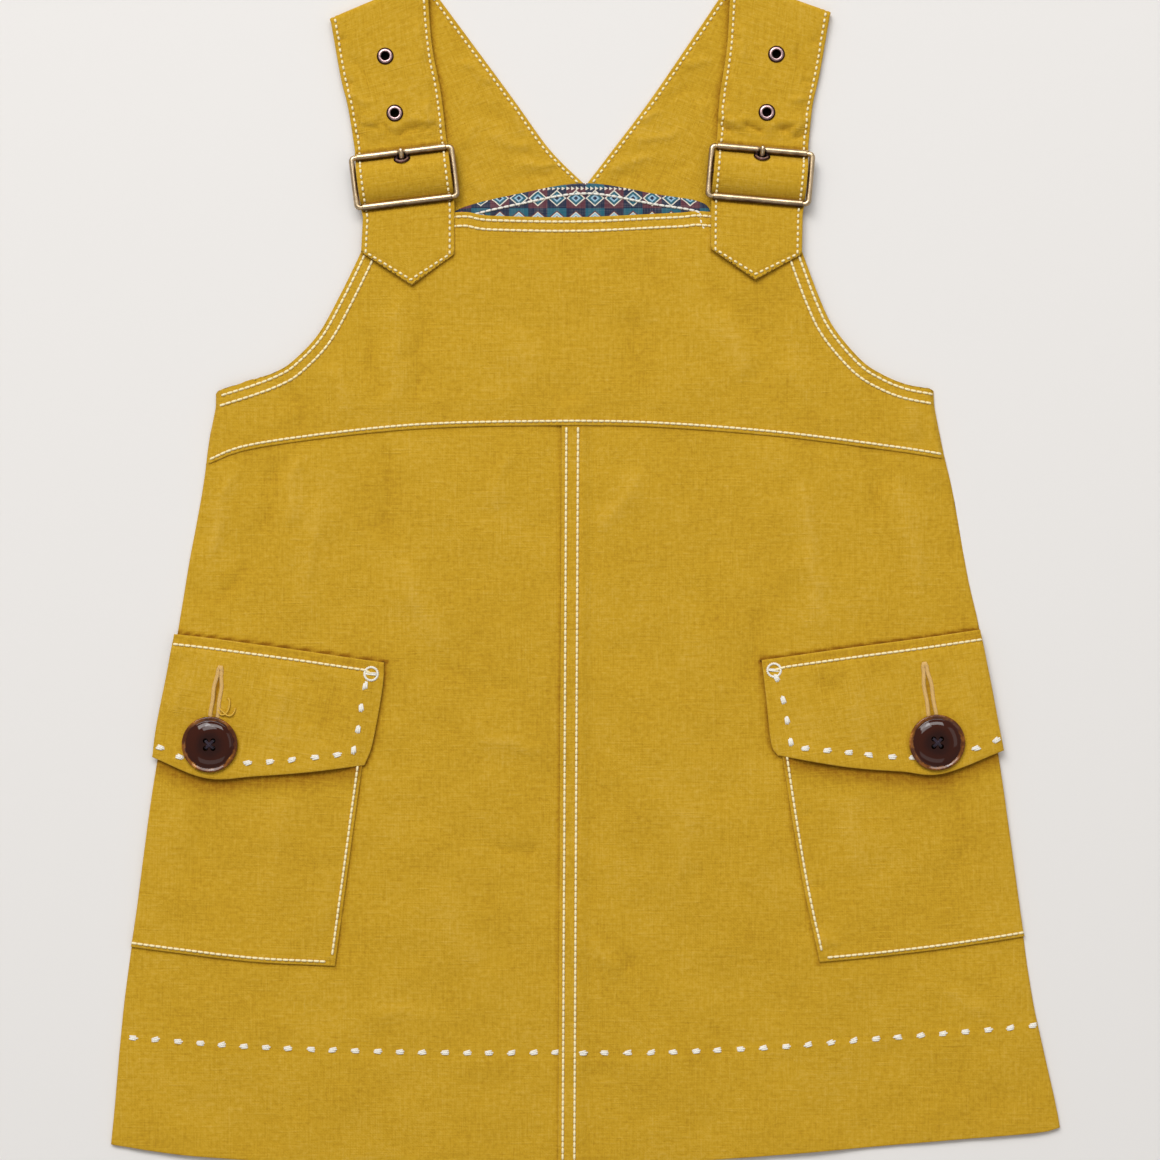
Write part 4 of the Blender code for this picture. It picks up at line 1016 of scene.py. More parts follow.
def strap_middle(side):
    """Rows of the strap's middle surface from the neck seam to the point, and the first row of each leg."""
    table = STRAP[side]
    out = OUTWARD[side]
    columns = lines_across(2 * table["half_width"], STRAP_STEP)

    def level(places, height):
        """Flat places in rows, with their heights."""
        return np.dstack([places, np.broadcast_to(height, places.shape[:2])])

    # Back leg, flat on the surface, up to the shoulder fold
    base = on_line(smooth(NECK_SEAM), np.linspace(*table["seam"], 33), 0.3)
    fold = np.array([table["front_outer"][0], table["front_inner"][0]])
    across = unit(fold[1] - fold[0])
    beyond = np.array([across[1], -across[0]]) * out
    fold = fold - beyond * (FOLD_RADIUS + STRAP_CLOTH / 2)
    fold_row = fold[0] + columns[:, None] * (fold[1] - fold[0])
    outer = smooth([base[0]] + table["back_outer"] + [fold[0]])
    inner = np.vstack([base[-1:], smooth(table["back_inner"] + [fold[1]])])
    rows = lines_across(travelled(outer)[-1], STRAP_STEP)
    places = patch(share_of(base, columns), fold_row, share_of(outer, rows), share_of(inner, rows))
    back = level(places, STRAP_ON_BACK)
    relief = creases(places, BACK_STRAP_CREASES[side], STRAP_CREASE_STRENGTH) + crumple(places)
    relief = np.clip(relief, -0.3, 0.8) + 0.3
    back[..., 2] += relief * ease((60.0 - np.abs(places[..., 0])) / 6.0)

    # Half turn over the shoulder
    angles = np.radians(np.linspace(-78.0, 78.0, 9))[:, None, None]
    turn = np.broadcast_to(fold_row, (9,) + fold_row.shape) + beyond * FOLD_RADIUS * np.cos(angles)
    shoulder = level(turn, (STRAP_ON_BACK + FOLD_RADIUS * (1.0 + np.sin(angles)))[..., 0])

    # Front leg down to the buckle
    half = table["half_width"]
    ends = [buckle_point(side, edge * half, BUCKLE_REACH) for edge in (out, -out)]
    outer = smooth([fold[0]] + table["front_outer"][1:] + [ends[0]])
    inner = smooth([fold[1]] + table["front_inner"][1:] + [ends[1]])
    length = travelled(outer)[-1]
    down = np.linspace(0.0, length, round(length / STRAP_STEP) + 1)
    places = between(share_of(outer, down / length), share_of(inner, down / length), columns)
    drop = STRAP_ON_BACK + 2 * FOLD_RADIUS - STRAP_ON_BACK_LEG
    front = level(places, STRAP_ON_BACK_LEG + rolled(down - length + 8.0, 8.0, drop)[:, None])
    relief = creases(places, FRONT_STRAP_CREASES[side], STRAP_CREASE_STRENGTH) + crumple(places)
    for number in (1, 2):
        spot = middle_of(f"eyelet_{side}_{number}")[:2]
        relief *= ease((np.linalg.norm(places - spot, axis=-1) - 3.6) / 3.0)
    front[..., 2] += relief * ease(down / 10.0)[:, None] * ease((length - down) / 2.5)[:, None]
    edge = np.minimum(columns, 1 - columns) * 2 * half
    front[..., 2] -= rolled(edge, 7.0, 0.9) * (ease(down / 14.0) * ease((length - down) / 9.0))[:, None]

    # Through the buckle, in rows level with its bars
    y = np.linspace(BUCKLE_REACH, 0.15 - BUCKLE_REACH, 41)[1:]
    half = half + 0.3 * ease((14.5 - np.abs(y)) / 4.0)
    places = between(buckle_point(side, out * half, y), buckle_point(side, -out * half, y), columns)
    buckled = level(places, strap_height(y)[:, None])

    # Over the bib to the point
    last = places[-1]
    first, second = (np.array(corner) for corner in table["shoulders"])
    point = np.array(table["point"])
    shoulder_row = first + columns[:, None] * (second - first)
    left = first + np.minimum(columns * 2, 1.0)[:, None] * (point - first)
    right = np.maximum(columns * 2 - 1, 0.0)[:, None] * (second - point)
    point_row = left + right
    steps = np.linspace(0.0, 1.0, 12)[1:, None, None]
    on_bib = last + steps * (shoulder_row - last)
    closer = [0.7, 0.78, 0.84, 0.88, 0.92, 0.955, 0.98, 1.0]
    shares = np.concatenate([np.linspace(0.0, 0.62, 6)[1:], closer])[:, None, None]
    tip = shoulder_row + shares * (point_row - shoulder_row)
    tip_rows = level(np.concatenate([on_bib, tip]), STRAP_ON_BIB)

    rows = np.concatenate([back, shoulder, front, buckled, tip_rows])
    starts = {
        "front": len(back) + len(shoulder),
        "buckled": len(back) + len(shoulder) + len(front),
        "tip": len(rows) - len(tip_rows),
        "point": len(rows) - len(tip),
    }
    return rows, columns, starts


def strap_sewing(side):
    """Path and ups of the row that runs down one edge of the strap, round its point and up the other, then
    those of the rows along both edges of the back leg. All lie on the strap's faces."""
    rows, columns, starts = strap_middle(side)
    normal = normals_of(rows)
    both = np.concatenate([rows, normal], axis=-1)
    facing = -1.0 if normal[starts["front"] + 5, 5, 2] < 0 else 1.0
    half = STRAP_CLOTH / 2
    width = np.linalg.norm(rows[:, -1] - rows[:, 0], axis=1)

    def inside(picked, from_outer):
        """Places and normals beside one edge, in the picked rows."""
        share = STITCH_INSIDE / width[picked]
        share = share if from_outer else 1.0 - share
        found = [[np.interp(s, columns, part) for part in both[row].T] for row, s in zip(picked, share)]
        return np.hsplit(np.array(found), 2)

    down = np.arange(starts["front"] - 2, starts["point"] + 1)
    outer, outer_up = inside(down, True)
    inner, inner_up = inside(down, False)
    first, second = (np.array(corner) for corner in STRAP[side]["shoulders"])
    point = np.array(STRAP[side]["point"])
    into = unit((first + second) / 2 - point)
    tip = np.append(point + into * STITCH_INSIDE * 1.25, STRAP_ON_BIB)[None]
    path = np.vstack([outer, tip, inner[::-1]])
    up = np.vstack([outer_up, normal[-1:, len(columns) // 2], inner_up[::-1]]) * facing
    sewing = [(path + up * half, up)]
    back = np.arange(2, starts["front"] - 4)
    for from_outer in (False, True):
        line, line_up = inside(back, from_outer)
        line_up = line_up * np.sign(line_up[:, 2:].mean())
        sewing.append((line + line_up * half, line_up))
    return sewing


# Materials ----


class Signal:
    """A number in a material that Python's arithmetic can use: each operation adds a Math node."""

    def __init__(self, finish, socket):
        self.finish = finish
        self.socket = socket

    def math(self, operation, *others):
        """The result of one of the Math node's operations."""
        values = dict(enumerate((self,) + others))
        return self.finish.node("ShaderNodeMath", {"operation": operation}, values)[0]

    def __add__(self, other):
        return self.math("ADD", other)

    def __radd__(self, other):
        return self.math("ADD", other)

    def __sub__(self, other):
        return self.math("SUBTRACT", other)

    def __rsub__(self, other):
        return (self * -1.0).math("ADD", other)

    def __mul__(self, other):
        return self.math("MULTIPLY", other)

    def __rmul__(self, other):
        return self.math("MULTIPLY", other)

    def __truediv__(self, other):
        return self.math("DIVIDE", other)

    def above(self, edge):
        """1 where the signal is over the edge, otherwise 0."""
        return self.math("GREATER_THAN", edge)

    def below(self, edge):
        """1 where the signal is under the edge, otherwise 0."""
        return self.math("LESS_THAN", edge)

    def between(self, low, high):
        """0 at low and under it, 1 at high and over it, smooth between."""
        values = {"Value": self, "From Min": low, "From Max": high}
        return self.finish.node("ShaderNodeMapRange", {"interpolation_type": "SMOOTHSTEP"}, values)[0]


class Finish:
    """A material with one Principled shader, built through the method node."""

    def __init__(self, name, **uniform):
        self.material = bpy.data.materials.new(name)
        self.material.use_nodes = True
        self.tree = self.material.node_tree
        self.shader = self.tree.nodes["Principled BSDF"]
        for socket, value in uniform.items():
            self.shader.inputs[socket.replace("_", " ")].default_value = value

    def node(self, kind, settings=None, values=None):
        """Adds a node: its settings first, then the values or links of its sockets. Returns its outputs."""
        made = self.tree.nodes.new(kind)
        for name, value in (settings or {}).items():
            setattr(made, name, value)
        for name, value in (values or {}).items():
            if isinstance(value, Signal):
                self.tree.links.new(value.socket, made.inputs[name])
            else:
                made.inputs[name].default_value = value
        return [Signal(self, output) for output in made.outputs]

    def feed(self, socket, signal):
        """Links a signal to one of the shader's sockets."""
        self.tree.links.new(signal.socket, self.shader.inputs[socket])

    def surface(self):
        """The piece's own UV map, in metres."""
        return self.node("ShaderNodeUVMap", {"uv_map": "surface"})[0]

    def place(self):
        """Object coordinates, in metres."""
        return self.node("ShaderNodeTexCoord")[3]

    def parts(self, vector):
        """The x, y and z of a vector."""
        return self.node("ShaderNodeSeparateXYZ", None, {0: vector})

    def stretched(self, vector, scale):
        """A vector with each part multiplied, in features per metre."""
        return self.node("ShaderNodeVectorMath", {"operation": "MULTIPLY"}, {0: vector, 1: scale})[0]

    def noise(self, vector, scale, detail=2.0, roughness=0.5):
        """Noise from about 0.3 to 0.7 with features of the scale."""
        values = {"Vector": self.stretched(vector, scale), "Scale": 1.0}
        values.update({"Detail": detail, "Roughness": roughness})
        return self.node("ShaderNodeTexNoise", {"normalize": True}, values)[0]

    def mix(self, share, low, high):
        """One colour into another."""
        low = low if isinstance(low, Signal) else (*low, 1.0)
        high = high if isinstance(high, Signal) else (*high, 1.0)
        values = {0: share, 6: low, 7: high}
        return self.node("ShaderNodeMix", {"data_type": "RGBA"}, values)[2]

    def worn(self):
        """The piece's shade and wear: painted shade down to -1 in hollows, beside layers above and on the
        undersides of metal, and wear and painted light up to 1 on rubbed edges, crease ridges and metal tops.
        The buttons keep their share of the radius in it.
        """
        return self.node("ShaderNodeAttribute", {"attribute_name": "worn"})[2]

    def bump(self, height, distance, strength=1.0):
        """Relief of a height in metres."""
        values = {"Strength": strength, "Distance": distance, "Height": height}
        self.feed("Normal", self.node("ShaderNodeBump", None, values)[0])


def weave(finish, vector, pitch):
    """Threads of a plain weave: uneven warp and weft from stretched noise, and their crossings from
    sin(pi x / pitch) sin(pi y / pitch). Returns warp, weft and the height."""
    warp = finish.noise(vector, (1000.0 / pitch, 70.0, 0.0), 2.0, 0.6)
    weft = finish.noise(vector, (80.0, 1000.0 / pitch, 0.0), 2.0, 0.6)
    x, y, _ = finish.parts(finish.stretched(vector, (1000.0 * math.pi / pitch,) * 3))
    crossing = x.math("SINE") * y.math("SINE")
    return warp, weft, warp + weft + crossing * 0.10


def linen(cloth_settings):
    """Mustard linen: uneven weave with slubs, faded on edges, painted light on crease ridges, and painted
    shade in hollows, beside the edges of layers above it and, nearly black, where it is seen through a hole.
    """
    finish = Finish("linen", Sheen_Weight=0.05, Sheen_Roughness=0.5, Specular_IOR_Level=0.15)
    surface = finish.surface()
    warp, weft, height = weave(finish, surface, 0.62)
    slub_weft = finish.noise(surface, (55.0, 900.0, 0.0), 1.0, 0.4).between(0.60, 0.74)
    slub_warp = finish.noise(surface, (900.0, 42.0, 0.0), 1.0, 0.4).between(0.61, 0.76)
    cloud = finish.noise(finish.place(), (30.0, 30.0, 30.0), 4.0, 0.6)
    mottle = finish.noise(surface, (480.0, 530.0, 0.0), 3.0, 0.75)
    lighter = (warp + weft - 1.0) * 0.66 + (cloud - 0.5) * 0.55 + (mottle - 0.5) * 1.35
    # The attribute adds rubbed wear, painted light on ridges and painted shade
    lighter = lighter + (slub_weft + slub_warp) * 0.10 + finish.worn() * 0.30
    colour = finish.mix(lighter, cloth_settings.colour, cloth_settings.faded_and_lit)
    colour = finish.mix(lighter * -1.0, colour, cloth_settings.shaded)
    # Nearly black painted shade where the cloth is seen only through a hole
    finish.feed("Base Color", finish.mix(lighter * -1.0 - 1.3, colour, (0.012, 0.006, 0.003)))
    finish.feed("Roughness", 0.80 + cloud * 0.16)
    finish.bump(height + mottle * 1.0 + (slub_weft + slub_warp) * 0.25, 0.00024, 0.7)
    return finish.material


def printed(cloth_settings):
    """Cotton with a generic print on navy, plum and teal blocks: diamonds, cream teeth and zigzags."""
    finish = Finish("printed_cotton", Sheen_Weight=0.08, Specular_IOR_Level=0.25)
    surface = finish.surface()
    cells = finish.stretched(surface, (1000.0 / PRINT_WIDTH, 1000.0 / PRINT_REPEAT, 0.0))
    x, y, _ = finish.parts(cells)
    across = (x.math("FRACT") - 0.5).math("ABSOLUTE") * 2.0
    wide = ((x * 0.5).math("FRACT") - 0.5).above(0.0)
    band = y.math("FRACT")
    plum = (0.105, 0.028, 0.042)
    teal = (0.014, 0.105, 0.15)
    light = (0.3, 0.48, 0.6)
    cream = (0.74, 0.68, 0.56)
    colour = finish.mix(wide * band.below(0.5), cloth_settings.print_ground, plum)
    colour = finish.mix((1.0 - wide) * band.above(0.5), colour, teal)
    diamond = across * 0.95 + ((band - 0.25) * 4.6).math("ABSOLUTE")
    for size, paint in ((0.94, cream), (0.78, teal), (0.46, light), (0.24, cloth_settings.print_ground)):
        colour = finish.mix(diamond.below(size), colour, paint)
    zigzag = ((band - 0.76) * 7.0 + across * 1.4 - 0.7).math("ABSOLUTE")
    for size, paint in ((0.60, plum), (0.36, cream), (0.20, light)):
        colour = finish.mix(zigzag.below(size), colour, paint)
    teeth = (x * 4.0).math("FRACT") - 1.0 + (band - 0.49).math("ABSOLUTE") * 14.0
    colour = finish.mix(teeth.below(-0.30) * (band - 0.5).math("ABSOLUTE").below(0.05), colour, cream)
    warp, weft, height = weave(finish, surface, 0.4)
    colour = finish.mix((warp * weft).between(0.18, 0.42) * 0.16, colour, (0.45, 0.42, 0.38))
    finish.feed("Base Color", colour)
    finish.feed("Roughness", 0.74 + warp * 0.2)
    finish.bump(height, 0.00014, 0.5)
    return finish.material


def thread(name, colour, twist):
    """Twisted cotton thread: bright plies with painted shade in the grooves that run round it at a slant."""
    finish = Finish(name, Sheen_Weight=0.2, Sheen_Roughness=0.4, Specular_IOR_Level=0.3)
    x, y, _ = finish.parts(finish.stretched(finish.surface(), (1000.0, 1000.0, 0.0)))
    ply = (((x + y * 0.8) * (2 * math.pi / twist)).math("SINE") + 1.0) * 0.5
    cloud = finish.noise(finish.place(), (400.0, 400.0, 400.0), 2.0)
    shade = (ply * 0.55 + cloud * 0.6).between(0.1, 0.75)
    finish.feed("Base Color", finish.mix(shade, [part * 0.80 for part in colour], colour))
    finish.feed("Roughness", 0.60 + cloud * 0.25)
    finish.bump(ply, 0.00012, 0.6)
    return finish.material


def brass(trims):
    """Aged brass: bright on top, partly rubbed and partly a painted highlight, brown at the sides and below,
    partly patina and partly painted shade, with fine marks along its length.
    """
    finish = Finish("aged_brass", Metallic=1.0, Specular_IOR_Level=0.5)
    surface = finish.surface()
    marks = finish.noise(surface, (90.0, 2600.0, 0.0), 3.0, 0.65)
    blotch = finish.noise(finish.place(), (260.0, 260.0, 260.0), 4.0, 0.6)
    polish_and_light = (finish.worn() * 0.62 + marks * 0.9 + blotch * 0.7).between(0.55, 1.68)
    finish.feed("Base Color", finish.mix(polish_and_light, trims.patina_and_shade, trims.brass))
    finish.feed("Roughness", 0.50 - polish_and_light * 0.18)
    finish.bump(marks, 0.00005, 0.4)
    return finish.material


def eyelet_metal(trims):
    """Copper-coloured plating: a painted highlight on the rolled rim, and dark round it and in the hole,
    partly patina and partly painted shade.
    """
    finish = Finish("eyelet_copper", Metallic=1.0)
    blotch = finish.noise(finish.place(), (500.0, 500.0, 500.0), 3.0, 0.6)
    polish_and_light = (finish.worn() + (blotch - 0.5) * 0.8).between(0.1, 0.95)
    finish.feed("Base Color", finish.mix(polish_and_light, (0.055, 0.020, 0.014), trims.copper))
    finish.feed("Roughness", 0.42 - polish_and_light * 0.16 + blotch * 0.1)
    return finish.material


def tortoiseshell(trims):
    """Polished plastic: nearly black in the middle, deep red brown round it, mottled amber at the rim."""
    look = {"Coat_Weight": 0.8, "Coat_Roughness": 0.06, "Roughness": 0.4, "Specular_IOR_Level": 0.0}
    finish = Finish("mottled_shell", **look)
    mottle = finish.noise(finish.place(), (210.0, 240.0, 210.0), 3.0, 0.6)
    radius = finish.worn() + (mottle - 0.5) * 0.22
    colour = finish.mix(radius.between(0.28, 0.62), (0.020, 0.003, 0.001), (0.040, 0.006, 0.001))
    streak = finish.noise(finish.place(), (190.0, 170.0, 170.0), 3.0, 0.6)
    rim = finish.mix(streak.between(0.38, 0.56), (0.085, 0.022, 0.004), trims.amber)
    rim = finish.mix(streak.between(0.57, 0.67), rim, (0.52, 0.22, 0.04))
    finish.feed("Base Color", finish.mix(radius.between(0.85, 0.90), colour, rim))
    return finish.material


def floor_finish(stage):
    """Pale matt surface."""
    finish = Finish("pale_floor", Roughness=0.95, Specular_IOR_Level=0.1)
    cloud = finish.noise(finish.place(), (3.0, 3.0, 3.0), 2.0)
    paler = [part * 0.985 for part in stage.floor]
    finish.feed("Base Color", finish.mix(cloud, stage.floor, paler))
    return finish.material


def material(name, make, *settings):
    """A material by name, made when it is first asked for."""
    return bpy.data.materials.get(name) or make(*settings)


def linen_material():
    """The material of all plain cloth."""
    return material("linen", linen, bpy.context.scene.pinafore_cloth)


def thread_material(colour):
    """The thread material of one of the stitching's colours."""
    stitching = bpy.context.scene.pinafore_stitching
    return material("thread_" + colour, thread, "thread_" + colour, getattr(stitching, colour), 0.9)


# Operators ----


class PINAFORE_OT_back(bpy.types.Operator):
    """Add the back panel, flat on the surface and a little inside the front's edges"""

    bl_idname = "pinafore.back"
    bl_label = "Back Panel"

    # Step of its grid, as a multiple of the front's
    COARSER = 2.7

    def execute(self, context):
        edges = []
        for side in SIDES:
            edge = np.vstack([SIDE_LINE[side][::-1], ARMHOLE_LINE[side][1:-8]])
            edges.append(edge - np.array([OUTWARD[side] * SIDE_INSET, 0.0]))
        left, right = edges
        top = on_line(smooth(NECK_SEAM), np.linspace(left[-1, 0], right[-1, 0], 41))
        bottom = on_line(HEM_LINE, np.linspace(left[0, 0], right[0, 0], 41), SIDE_INSET)
        for edge, end in ((left, 0), (right, -1)):
            edge[0] = bottom[end]
            edge[-1] = top[end]
        step = self.COARSER * context.scene.pinafore_cloth.step / MM
        places = panel(bottom, top, left, right, step)
        face = BACK_FACE + 0.05 * ripple(places, 40.0, 41)
        flat_cloth("back_panel_linen", places, face, HALF_CLOTH, 0.0, ["floor"], "back_panel")
        return {"FINISHED"}


class PINAFORE_OT_facing(bpy.types.Operator):
    """Add the printed facing inside the back neck"""

    bl_idname = "pinafore.facing"
    bl_label = "Neck Facing"

    def execute(self, context):
        settings = context.scene.pinafore_cloth
        bottom = smooth(FACING_LOWER)
        left = np.linspace(bottom[0], NECK_LINE[0], 8)
        right = np.linspace(bottom[-1], NECK_LINE[-1], 8)
        places = panel(bottom, NECK_LINE, left, right, settings.step / MM)
        look = {"cover": material("printed_cotton", printed, settings), "slot": "printed_cloth"}
        under = ["back_panel_linen"]
        face = facing_face(places)
        flat_cloth("neck_facing_print", places, face, HALF_CLOTH, 0.0, under, "back_facing", **look)
        return {"FINISHED"}


class PINAFORE_OT_skirt(bpy.types.Operator):
    """Add both halves of the skirt, with the lap, the doubled hem and the creases"""

    bl_idname = "pinafore.skirt"
    bl_label = "Skirt Halves"

    def shade(self, places, side):
        """Painted shade beside what lies over the skirt: the flap, the pocket, the yoke's edge and the flap's
        top.
        """
        flap_inner = smooth(FLAP[side]["inner"])
        # Columns: line, depth, width
        edges = [
            (flap_inner, 1.6, 1.1),
            (smooth(POCKET_INNER[side]), 1.6, 1.1),
            (smooth(POCKET_BOTTOM[side]), 1.6, 1.1),
            (flap_inner, 1.2, 2.6),
            (YOKE_LINE - np.array([0.0, YOKE_UNDER]), 0.9, 1.3),
            (smooth(FLAP[side]["top"]), 5.5, 0.85),
        ]
        return sum(depth * shade_beside(places, line, width) for line, depth, width in edges)

    def execute(self, context):
        step = context.scene.pinafore_cloth.step / MM
        for side in SIDES:
            lapping = side == "right"
            start = 0.0 if lapping else LAP_WIDTH
            corner = across_at(YOKE_LINE, side_at(side, 52.0)) + YOKE_OVER
            low = on_line(HEM_LINE, np.linspace(LAP_EDGE_HEM_X + start, SIDE_LINE[side][-1, 0], 41))
            high_x = np.linspace(LAP_EDGE_TOP_X + start, side_at(side, corner), 41)
            high = on_line(YOKE_LINE, high_x, YOKE_OVER)
            outer = seam_run(side, SIDE_LINE[side][-1, 1], corner, 60)
            outer[0] = low[-1]
            outer[-1] = high[-1]
            seam = np.linspace(low[0], high[0], 20)
            places = sided_panel(side, low, high, seam, outer, step)
            hem = places[..., 1] - across_at(HEM_LINE, places[..., 0])
            half = HALF_CLOTH + rolled(hem - HEM_FOLD, FOLD_STEP, 0.08)
            # Painted light on crease ridges, and painted shade in their troughs and along the hem's fold
            worn = CREASE_LIGHT_AND_SHADE * creases(places, SKIRT_CREASES) - 0.5 * valley(hem, HEM_FOLD + 0.8)
            worn = worn + self.shade(places, side)
            if lapping:
                inside = places[..., 0] - lap_edge(places[..., 1])
                for row in LAP_ROWS:
                    half, worn = sewn(half, worn, inside, row)
            else:
                # Painted shadow of the lapping half's edge on this one
                worn = worn + 1.8 * shade_beside(places, seam - np.array([LAP_WIDTH, 0.0]), 0.9)
            face = skirt_face(places, lapping)
            name = f"skirt_{side}_linen"
            flat_cloth(name, places, face, half, worn, ["back_panel_linen"], f"front_skirt_{side}")
        return {"FINISHED"}


class PINAFORE_OT_bib(bpy.types.Operator):
    """Add the bib and yoke in one piece, lapped over the skirt"""

    bl_idname = "pinafore.bib"
    bl_label = "Bib"

    def execute(self, context):
        low_x = np.linspace(side_at("left", 46.0), side_at("right", 48.0), 61)
        bottom = on_line(YOKE_LINE, low_x, -YOKE_UNDER)
        edges = []
        for side, end in zip(SIDES, bottom[[0, -1]]):
            seam = seam_run(side, end[1], SIDE[side][0][1], 6)
            edges.append(np.vstack([seam[:-1], ARMHOLE_LINE[side]]))
        places = panel(bottom, BIB_TOP_LINE, *edges, context.scene.pinafore_cloth.step / MM)
        half = np.full(places.shape[:2], HALF_CLOTH)
        worn = CREASE_LIGHT_AND_SHADE * creases(places, BIB_CREASES)
        # Painted shadow of each strap's point on the bib
        for side in SIDES:
            first, second = STRAP[side]["shoulders"]
            tip = np.array([first, STRAP[side]["point"], second])
            worn = worn + 1.6 * shade_beside(places, tip, 1.4)
        for line in (BIB_TOP_LINE, bottom, ARMHOLE_LINE["left"], ARMHOLE_LINE["right"]):
            apart = reach(places, line)[0]
            half = half + rolled(apart - SECOND_ROW, TURNED_STEP, 0.07)
            half, worn = sewn(half, worn, apart, STITCH_INSIDE, 0.16)
            if line is not bottom:
                half, worn = sewn(half, worn, apart, SECOND_ROW, 0.14)
        under = ["back_panel_linen", "neck_facing_print", "skirt_left_linen", "skirt_right_linen"]
        flat_cloth("bib_linen", places, bib_face(places), half, worn, under, "front_bib")
        return {"FINISHED"}


class PINAFORE_OT_pockets(bpy.types.Operator):
    """Add the two patch pockets"""

    bl_idname = "pinafore.pockets"
    bl_label = "Patch Pockets"

    GRAIN = 2.0

    def execute(self, context):
        for side in SIDES:
            inner = smooth(POCKET_INNER[side])[::-1]
            low = smooth(POCKET_BOTTOM[side])
            outer = seam_run(side, low[-1, 1], POCKET_TOP_Y, 30)
            outer[0] = low[-1]
            high = np.linspace(inner[-1], outer[-1], 12)
            places = sided_panel(side, low, high, inner, outer, context.scene.pinafore_cloth.step / MM)
            half = np.full(places.shape[:2], HALF_CLOTH)
            worn = CREASE_LIGHT_AND_SHADE * creases(places, POCKET_CREASES)
            # Painted shadow of the flap on the pocket
            worn = worn + 3.1 * shade_beside(places, smooth(FLAP[side]["bottom"]), 5.8)
            for line in (inner, low):
                apart = reach(places, line)[0]
                half = half + rolled(apart - 5.0, TURNED_STEP, 0.06)
                half, worn = sewn(half, worn, apart, POCKET_ROW)
            name = f"pocket_{side}"
            face = pocket_face(places)
            grain = self.GRAIN * OUTWARD[side]
            flat_cloth(name + "_linen", places, face, half, worn, [f"skirt_{side}_linen"], name, grain)
        return {"FINISHED"}


class PINAFORE_OT_flaps(bpy.types.Operator):
    """Add the two pocket flaps"""

    bl_idname = "pinafore.flaps"
    bl_label = "Pocket Flaps"

    STEP = 1.3
    GRAIN = 8.0

    def execute(self, context):
        for side in SIDES:
            table = {edge: smooth(rows) for edge, rows in FLAP[side].items()}
            edges = (table["bottom"], table["top"], table["inner"][::-1], table["outer"][::-1])
            places = sided_panel(side, *edges, self.STEP)
            half = np.full(places.shape[:2], HALF_DOUBLED)
            worn = CREASE_LIGHT_AND_SHADE * creases(places, FLAP_CREASES)
            apart = reach(places, table["top"])[0]
            half, worn = sewn(half, worn, apart, FLAP_ROW_INSIDE)
            # The header above the row of stitches is darker; then the slit of the buttonhole gets painted
            # shade, and the cloth under the button's holes nearly black painted shade
            worn = worn - 0.85 * np.exp(-(((apart - 2.4) / 1.7) ** 4))
            slit = np.array([BUTTONHOLE_TOP[side], middle_of("button_" + side)[:2]])
            cut = np.exp(-((reach(places, slit)[0] / 0.7) ** 2))
            under = np.linalg.norm(places - slit[1], axis=-1)
            worn = worn - 4.2 * cut - HOLE_SHADE * np.exp(-((under / 4.0) ** 6))
            name = f"flap_{side}"
            face = flap_face(places)
            half = half - 0.2 * cut
            grain = self.GRAIN * OUTWARD[side]
            flat_cloth(name + "_linen", places, face, half, worn, [f"pocket_{side}_linen"], name, grain)
        return {"FINISHED"}


class PINAFORE_OT_straps(bpy.types.Operator):
    """Add the two straps, each in one piece from the neck seam over the shoulder to its point"""

    bl_idname = "pinafore.straps"
    bl_label = "Straps"

    def holes(self, side):
        """Drills for the eyelets: through the front leg only."""
        drills = []
        for number in EYELETS:
            centre, turn = eyelet_seat(side, number)
            path = np.array([(0.0, 0.0, z) for z in (-1.75, -0.5, 0.5, 2.6)]) @ turn + centre
            drills.append(tube(path, EYELET_BORE + 0.12, 24, turn[1]))
        return drills

    def shade(self, side, rows, starts):
        """Painted shade close to the rollers, on the back leg beside the front one, and nearly black under
        the eyelets.
        """
        places = rows[..., :2]
        shade = np.zeros(places.shape[:2])
        for y, width in ((BAR_SPREAD + 2.0, 1.0), (BAR_SPREAD - 2.0, 0.8), (-BAR_SPREAD - 1.9, 0.9)):
            line = buckle_point(side, np.array([-30.0, 30.0]), y)
            shade = shade + 2.6 * shade_beside(places, line, width)
        back = places[: starts["front"]]
        behind = 2.2 * shade_beside(back, rows[starts["front"] : starts["buckled"], -1, :2], 1.8)
        for number in EYELETS[:2]:
            apart = np.linalg.norm(back - middle_of(f"eyelet_{side}_{number}")[:2], axis=-1)
            behind = behind - HOLE_SHADE * np.exp(-((apart / 2.8) ** 6))
        shade[: starts["front"]] = behind
        return shade

    def execute(self, context):
        for side in SIDES:
            rows, columns, starts = strap_middle(side)
            width = np.linalg.norm(rows[:, -1] - rows[:, 0], axis=1)[:, None]
            apart = np.minimum(columns, 1 - columns)[None] * width
            point = rows[starts["point"] :, :, :2]
            to_point = reach(point, rows[-1, :, :2])[0]
            apart[starts["point"] :] = np.minimum(apart[starts["point"] :], to_point)
            way = travelled(rows[:, len(columns) // 2])[:, None]
            gather = pucker(apart, way + columns[None] * 90.0, 3.2, 0.13)
            half = STRAP_CLOTH / 2 + gather - 0.16 * valley(apart, STITCH_INSIDE)
            table = FRONT_STRAP_CREASES[side] + BACK_STRAP_CREASES[side]
            # Painted light on the tops of the gathers, and painted shade in their hollows and on the stitched
            # valley
            worn = 2.0 * gather - 0.3 * valley(apart, STITCH_INSIDE)
            worn = worn + CREASE_LIGHT_AND_SHADE * creases(rows[..., :2], table) + self.shade(side, rows, starts)
            name = f"strap_{side}"
            uv = pairs((columns[None] - 0.5) * width, way)
            cut = (float(width.max()) * MM, float(way[-1, 0]) * MM)
            under = ["back_panel_linen", "bib_linen"]
            strap = (name + "_linen", rows, half, uv, worn, linen_material(), LINEN_SLOT)
            cloth(*strap, cut, "folded", under, name, self.holes(side))
        return {"FINISHED"}


